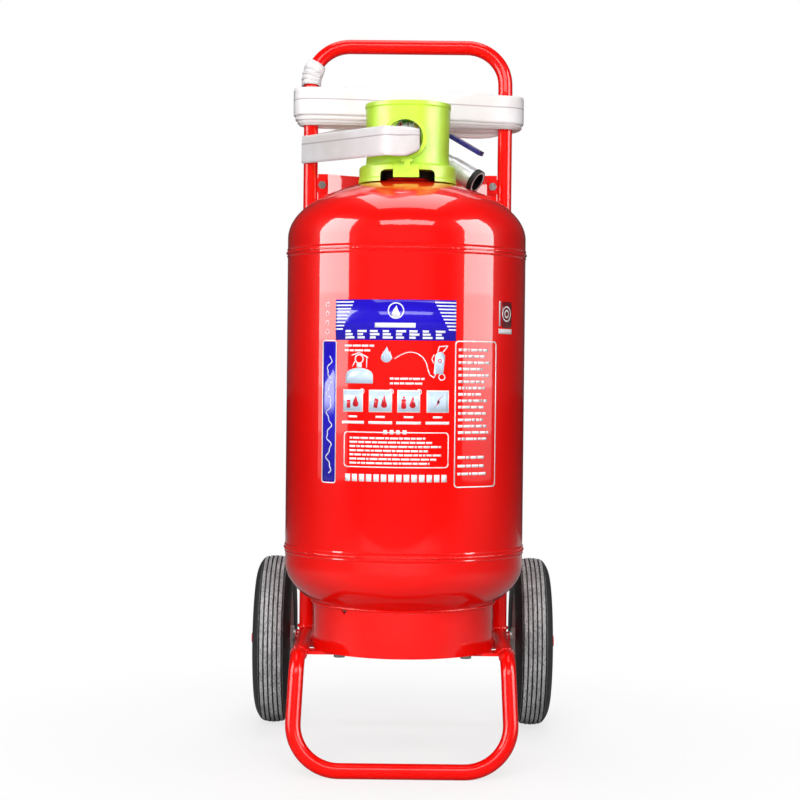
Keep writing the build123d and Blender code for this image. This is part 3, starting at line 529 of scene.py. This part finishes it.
def winding_height(lap, x, behind):
    """Height of the hose's middle line: the laps drop to the right and sag behind."""
    share = (x + POST_X) / (2 * POST_X)
    left = LEFT_Z + LAP_RISE[lap]
    right = RIGHT_Z + 0.5 * LAP_RISE[lap]
    height = left + (right - left) * share**1.4
    if behind:
        height -= LAP_SAG[lap] * math.exp(-(((x - SAG_X) / SAG_REACH) ** 2)) + BEHIND_DROP
    return height


def winding_line():
    """The middle of the hose round both posts, from the inside out: x, y, lap, and if it is behind."""
    rows = []
    straight = 2 * POST_X
    step = 0.006
    for lap in range(LAPS):
        for leg, start in (("behind", 0.0), ("left", 0.45), ("front", 0.5), ("right", 0.95)):
            turning = leg in ("left", "right")
            count = round((math.pi * FIRST_LAYER if turning else straight) / step)
            for i in range(count):
                share = i / count
                turn = lap + start + share * (0.05 if turning else 0.45)
                offset = FIRST_LAYER + LAYER_PITCH * turn
                bow = math.sin(math.pi * share)
                if leg == "behind":
                    x = POST_X - straight * share
                    y = offset + 0.0004 * bow * turn
                elif leg == "front":
                    x = -POST_X + straight * share
                    y = -offset - 0.0008 * bow
                else:
                    side = -1 if leg == "left" else 1
                    x = side * (POST_X + offset * bow)
                    y = -side * offset * math.cos(math.pi * share)
                rows.append((x, y, lap, leg == "behind"))
    return rows


def smoothed_heights(line, reach):
    """The same line, with each height the mean of its neighbours'."""
    heights = [point.z for point in line]
    result = []
    for i, point in enumerate(line):
        near = heights[max(0, i - reach) : i + reach + 1]
        result.append(Vector((point.x, point.y, sum(near) / len(near))))
    return result


def hose_winding():
    """Five laps of flat hose round both posts, each lap a little higher than the one inside it."""
    line = []
    for x, y, lap, behind in winding_line():
        inside = max(-POST_X, min(POST_X, x))
        line.append(Vector((x, y + POST_Y, winding_height(lap, inside, behind))))
    line = smoothed_heights(line, 4)
    widths = [HOSE_WIDTH] * len(line)
    hose = flat_hose("hose_winding_woven", line, widths, WOUND_CREASE, WOUND_THICK)
    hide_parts("hose_winding")


TAIL_R = 0.0098  # round at the gun's ferrule, and flatter towards the winding
TAIL_START = 0.009  # from the ferrule's middle
TAIL_STEP = 0.003
TAIL_STEPS = 8


def hose_tail():
    """The last of the hose, from the gun's tail up towards the winding."""
    low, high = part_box("hose_tail")
    tail_low, tail_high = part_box("gun_ferrule")
    start = (tail_low + tail_high) / 2
    going = ((low + high) / 2 - start).normalized()
    line = [start + going * (TAIL_START + TAIL_STEP * i) for i in range(TAIL_STEPS + 1)]
    side = going.cross(UP).normalized()
    up = side.cross(going)
    ring = [math.radians(15 * j) for j in range(24)]
    sections = []
    for i, point in enumerate(line):
        flat = i / TAIL_STEPS
        wide, thin = TAIL_R + 0.004 * flat, TAIL_R - 0.005 * flat
        sections.append([point + side * thin * math.cos(a) + up * wide * math.sin(a) for a in ring])
    tail = piece("hose_tail_woven", mesh_from("hose_tail", *swept(line, sections)), WHITE_HOSE)
    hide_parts("hose_tail")


HANDLE_CORNER_R = 0.054
HANDLE_LEAN = 0.2  # the handle's backward lean above the posts, as a slope
LEAN_FROM = 0.905  # the height where the posts end and the lean starts


def handle_axis(height):
    """The middle of the handle's tube in its left corner, and the way it runs."""
    centre_z = HANDLE_TOP - TUBE_R - HANDLE_CORNER_R
    rise = max(0.0, height - centre_z)
    run = HANDLE_CORNER_R - math.sqrt(HANDLE_CORNER_R**2 - rise**2)
    slope = rise / math.sqrt(HANDLE_CORNER_R**2 - rise**2)
    lean = POST_Y + HANDLE_LEAN * (height - LEAN_FROM)
    return Vector((-POST_X + run, lean, height)), Vector((slope, HANDLE_LEAN, 1.0)).normalized()


TIE_TURNS = 4  # the first is level
TIE_BAND = 0.0145
TIE_THICK = 0.0008
TIE_LOW = 0.9155  # just clear of the winding's top
TIE_STEPS = 36  # in each turn


def tie():
    """A canvas tape wound loosely on the handle's left corner, down to the top of the winding."""
    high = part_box("tie_tape")[1]
    rise = (high.z - TIE_LOW - TIE_BAND) / (TIE_TURNS - 1)
    line, sections = [], []
    for i in range(TIE_TURNS * TIE_STEPS + 1):
        share = i / TIE_STEPS
        centre, going = handle_axis(TIE_LOW + TIE_BAND / 2 + rise * max(0.0, share - 1))
        side = going.cross(BACK).normalized()
        front = side.cross(going)
        angle = 2 * math.pi * share
        out = side * math.cos(angle) + front * math.sin(angle)
        radius = TUBE_R + 0.0019 + 0.0003 * share + 0.0003 * math.sin(5 * angle + share)
        line.append(centre + out * radius)
        ring = []
        for across, along in ((-0.5, -1), (0.5, -1), (0.9, 0), (0.5, 1), (-0.5, 1), (-0.9, 0)):
            slack = 0.0006 * (1 - along)
            spot = centre + out * (radius + slack + across * TIE_THICK)
            ring.append(spot + going * along * TIE_BAND / 2)
        sections.append(ring)
    made = piece("tie_wrap", mesh_from("tie_wrap", *swept(line, sections)), WHITE_HOSE)
    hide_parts("tie_tape")


hose_lead()
hose_winding()
hose_tail()
tie()


# ---- Welds --------------------------------------------------------------------------------


def weld(name, line, size, uneven=0.14):
    """A weld bead along a line: overlapping ripples of slightly uneven size."""
    sections = []
    for i, (point, going) in enumerate(zip(line, directions(line))):
        side = going.cross(Vector((0.3, 0.2, 1))).normalized()
        up = side.cross(going)
        ripple = size * (1 + 0.22 * math.sin(i * 1.9) + RANDOM.uniform(-uneven, uneven))
        ring = [math.radians(45 * j) for j in range(8)]
        sections.append([point + (side * math.cos(a) + up * math.sin(a)) * ripple for a in ring])
    bead = piece(name, mesh_from(name, *swept(line, sections)), RED)


def circle(centre, radius, axis, count=44):
    """Points round an axis, back to the first."""
    side = axis.cross(Vector((0.1, 0.93, 0.35))).normalized()
    other = axis.cross(side)
    found = []
    for i in range(count + 1):
        angle = 2 * math.pi * i / count
        found.append(centre + (side * math.cos(angle) + other * math.sin(angle)) * radius)
    return found


def tube_welds(side, word):
    """One side's beads, where foot loop, post, axle tube and cradle bars meet the rail."""
    butt = Vector((side * POST_X, RAIL_LOW.y, RAIL_Z))
    weld(f"weld_foot_{word}", circle(butt, TUBE_R - 0.0007, BACK), 0.0018, 0.4)
    post = Vector((side * POST_X, POST_Y, RAIL_Z + TUBE_R + 0.001))
    weld(f"weld_post_{word}", circle(post, TUBE_R, UP), 0.0021)
    axle_top = Vector((side * POST_X, WHEEL_Y, RAIL_Z - TUBE_R + 0.0045))
    for end, y in (("front", -0.0105), ("rear", 0.0105)):
        run = [axle_top + Vector((-0.009 + 0.0015 * i, y, 0)) for i in range(13)]
        weld(f"weld_axle_{word}_{end}", run, 0.0018)
    for bar in ("front_cradle_bar", "rear_cradle_bar"):
        low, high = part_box(bar)
        x = side * (POST_X - TUBE_R - 0.0002)
        run = [Vector((x, low.y + 0.002 * i, high.z + 0.0006)) for i in range(16)]
        weld(f"weld_{bar}_{word}", run, 0.0017)


def welds():
    """Beads where tubes meet, ripples on the tank's seams, and a bead round the base ring."""
    for side, word in ((-1, "left"), (1, "right")):
        tube_welds(side, word)
    for seam in ("upper_seam_weld", "lower_seam_weld"):
        low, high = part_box(seam)
        middle = Vector((0, TANK_Y, (low.z + high.z) / 2))
        radius = (high.x - low.x) / 2 - 0.0003
        weld("ripple_" + seam, circle(middle, radius, UP, 520), 0.0011, 0.3)
    low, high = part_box("base_ring")
    seat = Vector((0, TANK_Y, high.z - 0.0006))
    weld("weld_base_ring", circle(seat, (high.x - low.x) / 2 + 0.0004, UP, 420), 0.0016)


welds()


# ---- Label --------------------------------------------------------------------------------
# Drawn flat, in millimetres: across is the distance round the barrel from its front, to the right,
# and up is the height above the floor. The print is only bars, rings and simple pictures.

LABEL_LIFT = 0.00035
LABEL_INK = 0.00012  # between one colour's layer and the next
STRIP = 0.004  # the flat drawing is cut this narrow before it is bent round the barrel


class Sheet:
    """Everything printed in one colour, drawn flat in millimetres and then bent on the barrel."""

    def __init__(self, name, colour, layer):
        self.name = name
        self.layer = layer
        self.look = printed(name, colour)
        self.mesh = bmesh.new()

    def shape(self, outline):
        """A filled outline."""
        corners = [self.mesh.verts.new((across / 1000, up / 1000, 0)) for across, up in outline]
        self.mesh.faces.new(corners)

    def bar(self, left, right, low, high):
        """A filled rectangle."""
        self.shape([(left, low), (right, low), (right, high), (left, high)])

    def line(self, points, width):
        """A line of even width through points."""
        for (x, y), (u, v) in zip(points, points[1:]):
            length = math.hypot(u - x, v - y)
            dx, dy = (y - v) / length * width / 2, (u - x) / length * width / 2
            self.shape([(x - dx, y - dy), (u - dx, v - dy), (u + dx, v + dy), (x + dx, y + dy)])

    def loop(self, outline, inner):
        """The ring between two outlines with the same number of points."""
        count = len(outline)
        for i in range(count):
            k = (i + 1) % count
            self.shape([outline[i], outline[k], inner[k], inner[i]])

    def text_lines(self, left, right, tops, height):
        """Generic bars of uneven length, in place of printed lines."""
        for top in tops:
            start = left
            end = right - (right - left) * RANDOM.uniform(0.0, 0.35)
            while start < end - 2.0:
                stop = min(end, start + RANDOM.uniform(3.0, 12.0))
                self.bar(start, stop, top - height, top)
                start = stop + 1.2

    def finish(self):
        """Cuts the drawing into narrow strips, bends it round the barrel and gives it thickness."""
        mesh = self.mesh
        reach = max(abs(vertex.co.x) for vertex in mesh.verts)
        for i in range(-math.ceil(reach / STRIP), math.ceil(reach / STRIP) + 1):
            parts = mesh.verts[:] + mesh.edges[:] + mesh.faces[:]
            spot = (i * STRIP, 0, 0)
            bmesh.ops.bisect_plane(mesh, geom=parts, plane_co=spot, plane_no=(1, 0, 0))
        bmesh.ops.recalc_face_normals(mesh, faces=mesh.faces[:])
        for face in mesh.faces:
            if face.normal.z < 0:
                face.normal_flip()
        radius = TANK_R + LABEL_LIFT + LABEL_INK * self.layer
        for vertex in mesh.verts:
            angle = vertex.co.x / TANK_R
            height = vertex.co.y
            vertex.co = (radius * math.sin(angle), TANK_Y - radius * math.cos(angle), height)
        made_mesh = bpy.data.meshes.new(self.name)
        mesh.to_mesh(made_mesh)
        mesh.free()
        made = piece(self.name, made_mesh, self.look)
        thick = made.modifiers.new("thickness", "SOLIDIFY")
        thick.thickness = 0.0001
        thick.offset = -1.0


def rounded(left, right, low, high, corner, steps=5):
    """A rectangle with round corners, as an outline."""
    outline = []
    for x, y, start in (
        (right - corner, high - corner, 0),
        (left + corner, high - corner, 90),
        (left + corner, low + corner, 180),
        (right - corner, low + corner, 270),
    ):
        for i in range(steps + 1):
            angle = math.radians(start + 90 * i / steps)
            outline.append((x + corner * math.cos(angle), y + corner * math.sin(angle)))
    return outline


def ring_of(sheet, x, y, outer, inner, count=24):
    """A ring between two radii."""
    angles = [2 * math.pi * i / count for i in range(count)]
    edges = []
    for radius in (outer, inner):
        edges.append([(x + radius * math.cos(a), y + radius * math.sin(a)) for a in angles])
    sheet.loop(*edges)


def frame_of(sheet, left, right, low, high, corner, width):
    """A frame line with round corners."""
    outer = rounded(left, right, low, high, corner)
    inner = rounded(left + width, right - width, low + width, high - width, corner - width * 0.7)
    sheet.loop(outer, inner)


HEADER = (-95.0, 65.5, 555.5, 607.0)
STRIPES = 9
STRIPE_PITCH = 4.3
STRIPE_WIDTH = 1.9
STRIPE_SLANT = 0.8


def label_header(blue, white):
    """The blue header: white stripes with slanting ends at both sides, an emblem and eight blocks."""
    left, right, low, high = HEADER
    blue.bar(left, right, low, high)
    for i in range(STRIPES):
        top = high - 2.2 - STRIPE_PITCH * i
        foot = top - STRIPE_WIDTH
        end = left + 27.0 - 1.95 * i
        white.shape([(left, foot), (end - STRIPE_SLANT, foot), (end, top), (left, top)])
        start = right - (29.0 - 2.3 * i)
        white.shape([(start + STRIPE_SLANT, foot), (right, foot), (right, top), (start, top)])
    centre = -12.8
    ring_of(white, centre, 593.0, 10.5, 8.9)
    white.shape(drop(centre, 588.0, 5.4, 11.5))
    white.bar(centre - 27.0, centre + 25.0, 571.5, 577.5)
    for i in range(8):
        start = -80.0 + 16.9 * i
        for j in range(3):
            white.bar(start, start + 12.6 - 2.4 * ((i + j) % 3), 557.4 + 4.0 * j, 560.2 + 4.0 * j)


def drop(x, y, half, height):
    """A flame or drop: round below, drawn up to a point."""
    outline = []
    for i in range(13):
        angle = math.radians(180 + 15 * i)
        outline.append((x + half * math.cos(angle), y + half * 0.85 * math.sin(angle)))
    outline.append((x + half * 0.55, y + height * 0.45))
    outline.append((x + half * 0.1, y + height))
    outline.append((x - half * 0.6, y + height * 0.5))
    return outline


def label_side_strip(blue, white):
    """The narrow blue strip at the left, with a plain wave running up it, and small marks above."""
    left, right, low, high = -118.0, -91.5, 371.0, 556.5
    blue.shape(rounded(left + 3.0, right - 3.0, low + 3.0, high - 3.0, 2.0))
    frame_of(white, left + 1.5, right - 1.5, low + 1.0, high - 1.0, 4.0, 1.5)
    middle = (left + right) / 2
    wave = []
    for i in range(97):
        share = i / 96
        sway = 3.6 * math.sin(share * 34) + 1.4 * math.sin(share * 81)
        wave.append((middle + sway, low + 14 + share * 150))
    white.line(wave, 1.5)
    for i in range(4):
        ring_of(white, middle - 3.6, 566.0 + 11.6 * i, 3.4, 2.2, 10)


def label_pictures(white, pale, red):
    """Simple pictures: a charged cylinder with its valve, a flame, a jet and a small trolley."""
    dome = [(-79.0, 500.4), (-41.5, 500.4)]
    for i in range(13):
        angle = math.radians(15 * i)
        dome.append((-60.2 + 18.8 * math.cos(angle), 508.0 + 12.0 * abs(math.sin(angle)) ** 0.7))
    pale.shape(dome)
    white.bar(-63.6, -56.8, 520.5, 526.0)
    ring_of(white, -60.2, 531.5, 6.2, 4.6)
    white.line([(-71.0, 536.0), (-60.2, 539.5), (-48.0, 533.0)], 1.4)
    white.line([(-50.0, 520.5), (-50.0, 534.0)], 1.2)
    white.line([(-69.5, 522.0), (-65.0, 530.0)], 1.2)
    for x, half, height in ((-24.4, 6.6, 19.0), (-28.4, 3.2, 11.0), (-20.0, 3.0, 12.0)):
        pale.shape(drop(x, 533.0, half, height * 0.75))
    jet = [(-14.0 + 3.4 * i, 532.0 + 8.6 * math.sin(0.26 * i)) for i in range(10)]
    white.line(jet, 1.0)
    hose = [(16.6, 538.0), (22.0, 534.0), (26.5, 527.0), (28.5, 519.0), (31.0, 512.0)]
    white.line(hose, 1.3)
    tank = [(36.0, 514.0), (48.5, 513.0), (50.8, 537.0), (46.0, 541.5), (41.0, 541.0), (38.0, 537.0)]
    pale.shape(tank)
    white.line([(31.0, 512.0), (36.5, 508.5), (40.0, 516.5)], 1.4)
    white.line([(41.0, 541.0), (43.0, 548.0), (54.5, 549.0), (48.0, 541.0)], 1.3)
    white.line([(36.5, 538.0), (33.4, 532.0), (35.6, 527.0)], 1.2)
    ring_of(white, 46.7, 509.5, 4.6, 3.3)
    ring_of(red, 44.0, 530.0, 2.6, 1.4, 14)


SQUARES = ((-82.5, -54.5), (-46.7, -16.6), (-10.0, 19.0), (27.2, 56.4))


def label_squares(white, pale, red):
    """Four pale squares with plain signs for the kinds of fire, and bars under them."""
    low, high = 464.2, 492.6
    for i, (left, right) in enumerate(SQUARES):
        white.bar(left, right, low, high)
        pale.bar(left + 1.6, right - 1.6, low + 1.6, high - 1.6)
        middle = (left + right) / 2
        if i == 0:
            red.bar(middle - 8.5, middle - 3.5, low + 5.0, low + 15.0)
            red.shape(drop(middle + 4.0, low + 10.0, 4.2, 11.0))
        elif i == 1:
            can = [(-9, 6), (-4, 5), (-2, 16), (-7, 18)]
            red.shape([(middle + x, low + y) for x, y in can])
            red.shape(drop(middle + 5.0, low + 9.0, 4.0, 13.0))
        elif i == 2:
            red.shape(rounded(middle - 9.5, middle - 3.0, low + 4.5, low + 17.0, 2.2))
            red.bar(middle - 7.6, middle - 4.9, low + 17.8, low + 20.4)
            red.shape(drop(middle + 5.0, low + 9.0, 4.0, 12.0))
        else:
            bolt = [(-5.5, 5.5), (2.2, 12.2), (-1.2, 12.6), (8.0, 23.0), (-0.6, 15.4), (2.4, 14.6)]
            red.shape([(middle + x, low + y) for x, y in bolt])
        if i < 3:
            ring_of(white, right - 1.6, high - 2.2, 3.6, 2.6, 16)
        white.bar(middle - 6.0, middle + 6.0, 457.0, 459.6)
        white.bar(middle - 15.5, middle + 15.5, 449.2, 452.8)


def label_notice(white):
    """A framed block of plain bars, a footer row, the framed panel at the right, and loose rows."""
    left, right, low, high = -81.0, 57.0, 393.8, 439.3
    outer = rounded(left, right, low, high, 5.0)
    inner = rounded(left + 1.4, right - 1.4, low + 1.4, high - 1.4, 4.0)
    white.loop(outer, inner)
    for i in range(4):
        white.bar(-27.5 + 8.2 * i, -22.5 + 8.2 * i, high - 2.9, high + 2.4)
    white.text_lines(left + 8.5, right - 4.0, [432.5 - 5.3 * i for i in range(7)], 2.6)
    for i in range(14):
        white.bar(-78.5 + 9.7 * i, -71.4 + 9.7 * i, 376.0, 385.4)
    frame_of(white, 64.5, 131.0, 368.5, 556.0, 5.0, 1.6)
    rows = [546.0 - 8.1 * i for i in range(15)]
    white.text_lines(69.5, 119.0, rows, 3.4)
    white.text_lines(69.5, 128.0, [409.0, 398.0, 388.0], 3.6)
    white.text_lines(-81.0, -34.0, [549.6, 543.6], 2.6)
    white.text_lines(-19.6, 36.0, [508.2, 502.2], 2.6)


def label_badge(white, grey):
    """A small plain badge at the right: two rings on a dark field, with a pale side and foot."""
    grey.shape(rounded(141.0, 165.0, 574.0, 608.0, 4.0))
    ring_of(white, 152.6, 592.0, 10.2, 8.6)
    ring_of(white, 152.6, 592.0, 5.4, 3.4)
    white.bar(135.5, 139.0, 576.0, 608.5)
    white.bar(135.0, 166.0, 566.0, 572.5)


def label():
    """The whole label, one sheet for each colour, from the lowest layer up."""
    blue = Sheet("label_blue", (0.014, 0.004, 0.5), 0)
    grey = Sheet("label_dark", (0.17, 0.006, 0.014), 0)
    white = Sheet("label_white", (0.84, 0.84, 0.86), 1)
    pale = Sheet("label_pale", (0.58, 0.7, 0.84), 2)
    red = Sheet("label_red", (0.62, 0.012, 0.02), 3)
    label_header(blue, white)
    label_side_strip(blue, white)
    label_pictures(white, pale, red)
    label_squares(white, pale, red)
    label_notice(white)
    label_badge(white, grey)
    for sheet in (blue, grey, white, pale, red):
        sheet.finish()


label()


# ---- Gauge --------------------------------------------------------------------------------


DIAL_SWEEP = 125  # degrees to each side of the top


def dial_marks():
    """A red, a green and a yellow arc, with eleven ticks over them, on the gauge's dial."""
    low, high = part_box("gauge_dial")
    centre_x, centre_z = (low.x + high.x) / 2, (low.z + high.z) / 2
    front = low.y - 0.0001
    radius = (high.x - low.x) / 2 - 0.0012

    def arc(name, inner, start, end, colour):
        """A mark from one angle to another, in degrees clockwise from the top."""
        points, faces = [], []
        steps = 16
        for i in range(steps + 1):
            angle = math.radians(start + (end - start) * i / steps)
            for r in (inner, radius):
                x, z = centre_x + r * math.sin(angle), centre_z + r * math.cos(angle)
                points += [(x, front, z), (x, front + 0.00015, z)]
        for i in range(steps):
            a, b = 4 * i, 4 * (i + 1)
            faces += [(a, a + 2, b + 2, b), (a + 1, b + 1, b + 3, a + 3)]
            faces += [(a, b, b + 1, a + 1), (a + 2, a + 3, b + 3, b + 2)]
        faces += [(0, 1, 3, 2), (4 * steps, 4 * steps + 2, 4 * steps + 3, 4 * steps + 1)]
        made = piece(name, mesh_from(name, points, faces), colour)

    inside = radius - 0.0042
    arc("dial_low", inside, -DIAL_SWEEP, -42, printed("dial_red", (0.62, 0.01, 0.01)))
    arc("dial_good", inside, -38, 38, printed("dial_green", (0.02, 0.36, 0.05)))
    arc("dial_high", inside, 42, DIAL_SWEEP, printed("dial_yellow", (0.8, 0.55, 0.02)))
    ink = printed("dial_ink", (0.01, 0.01, 0.01))
    for i in range(11):
        middle = DIAL_SWEEP * (i / 5 - 1)
        inner = radius - (0.0068 if i % 5 == 0 else 0.0054)
        arc(f"dial_tick_{i}", inner, middle - 1.3, middle + 1.3, ink)


dial_marks()


# ---- Studio -------------------------------------------------------------------------------


def panel(name, place, aim, width, height, radiance, seen_in="both"):
    """A soft rectangular light of an even brightness, seen in the matt light, the gloss, or both."""
    light = bpy.data.lights.new(name, "AREA")
    light.shape = "RECTANGLE"
    light.size = width
    light.size_y = height
    light.energy = radiance * math.pi * width * height
    made = bpy.data.objects.new(name, light)
    made.location = place
    made.rotation_euler = (Vector(aim) - Vector(place)).to_track_quat("-Z", "Y").to_euler()
    made.visible_glossy = seen_in != "matt"
    made.visible_diffuse = seen_in != "gloss"
    bpy.context.scene.collection.objects.link(made)


STRIP_ANGLE = math.radians(71)  # from straight ahead
STRIP_REACH = 1.9
STRIP_WIDTH = 1.15
STRIP_RADIANCE = 12.0
STRIP_TOP = 2.4
STRIP_FADE = (0.95, 0.8, 0.62, 0.42, 0.22, 0.08)  # from the foot of the bright part downwards
FADE_TOP = 0.9
FADE_STEP = 0.105


def side_strip(side):
    """A tall panel at one side that fades out downwards, for the pale strips on the barrel."""
    x = side * STRIP_REACH * math.sin(STRIP_ANGLE)
    y = TANK_Y - STRIP_REACH * math.cos(STRIP_ANGLE)
    tall = STRIP_TOP - FADE_TOP
    rows = [(FADE_TOP + tall / 2, tall, 1.0)]
    for i, share in enumerate(STRIP_FADE):
        rows.append((FADE_TOP - (i + 0.5) * FADE_STEP, FADE_STEP, share))
    for i, (z, height, share) in enumerate(rows):
        name = f"side_strip_{side}_{i}"
        panel(name, (x, y, z), (0.0, TANK_Y, z), STRIP_WIDTH, height, STRIP_RADIANCE * share, "gloss")


def lights():
    """A fading strip at each side, a panel overhead, soft ones in front, and one behind."""
    for side in (-1, 1):
        side_strip(side)
    centre = (0.0, TANK_Y, 0.5)
    panel("top_panel", (0.0, TANK_Y + 0.35, 2.3), (0.0, TANK_Y, 0.7), 1.1, 1.3, 3.5)
    panel("front_panel", (0.0, TANK_Y - 2.6, 2.6), centre, 2.7, 0.85, 7.5)
    panel("front_fill", (-0.35, TANK_Y - 3.0, 0.95), centre, 3.6, 1.6, 5.8, "matt")
    panel("back_fill", (0.35, TANK_Y + 3.0, 0.95), centre, 3.6, 1.6, 3.4, "matt")


def world():
    """A pale room: bright behind the object, dim in its reflections."""
    made = bpy.data.worlds.new("room")
    made.use_nodes = True
    tree = made.node_tree
    background = tree.nodes["Background"]
    background.inputs["Color"].default_value = (1.0, 1.0, 1.0, 1.0)
    rays = tree.nodes.new("ShaderNodeLightPath")
    strength = tree.nodes.new("ShaderNodeMapRange")
    strength.inputs["To Min"].default_value = 0.05
    strength.inputs["To Max"].default_value = 1.0
    tree.links.new(rays.outputs["Is Camera Ray"], strength.inputs["Value"])
    tree.links.new(strength.outputs["Result"], background.inputs["Strength"])
    bpy.context.scene.world = made


def floor():
    """A plain pale floor that runs out into the white of the room, and is dim in reflections."""
    half = 30.0
    corners = [(-half, -half, 0), (half, -half, 0), (half, half, 0), (-half, half, 0)]
    mesh = mesh_from("floor", corners, [(0, 1, 2, 3)])
    made = bpy.data.objects.new("floor", mesh)
    bpy.context.scene.collection.objects.link(made)
    look = Look("floor", (0.93, 0.93, 0.93), 0.7)
    distance = look.vector("LENGTH", look.place)
    rays = look.add("ShaderNodeLightPath").outputs["Is Camera Ray"]
    look.colour(look.blend(rays, (0.25, 0.25, 0.25), (0.93, 0.93, 0.93)))
    far = look.math("MULTIPLY", look.step(distance.outputs["Value"], 0.1, 0.8, 0.7, 1.0), rays)
    glow = look.add("ShaderNodeEmission")
    glow.inputs["Strength"].default_value = 1.0
    both = look.add("ShaderNodeMixShader")
    look.tree.links.new(far, both.inputs[0])
    look.tree.links.new(look.shader.outputs[0], both.inputs[1])
    look.tree.links.new(glow.outputs[0], both.inputs[2])
    look.tree.links.new(both.outputs[0], look.tree.nodes["Material Output"].inputs["Surface"])
    mesh.materials.append(look.material)


CAMERA_DISTANCE = 2.5  # from the tank's axis
CAMERA_HEIGHT = 0.518
CAMERA_DOWN = 0.93  # degrees, as the next two
CAMERA_LEFT = 0.16
CAMERA_ROLL = 0.6


def camera():
    """A long lens straight in front, a little above the middle, slightly rolled."""
    data = bpy.data.cameras.new("camera")
    data.lens = 83.3
    data.sensor_width = 36.0
    made = bpy.data.objects.new("camera", data)
    turn = Matrix.Rotation(math.radians(CAMERA_LEFT), 4, "Z")
    turn = turn @ Matrix.Rotation(math.radians(90 - CAMERA_DOWN), 4, "X")
    turn = turn @ Matrix.Rotation(math.radians(CAMERA_ROLL), 4, "Z")
    place = Matrix.Translation((0.0, TANK_Y - CAMERA_DISTANCE, CAMERA_HEIGHT))
    made.matrix_world = place @ turn
    bpy.context.scene.collection.objects.link(made)
    bpy.context.scene.camera = made


bpy.context.scene.view_settings.view_transform = "Standard"
world()
lights()
floor()
camera()
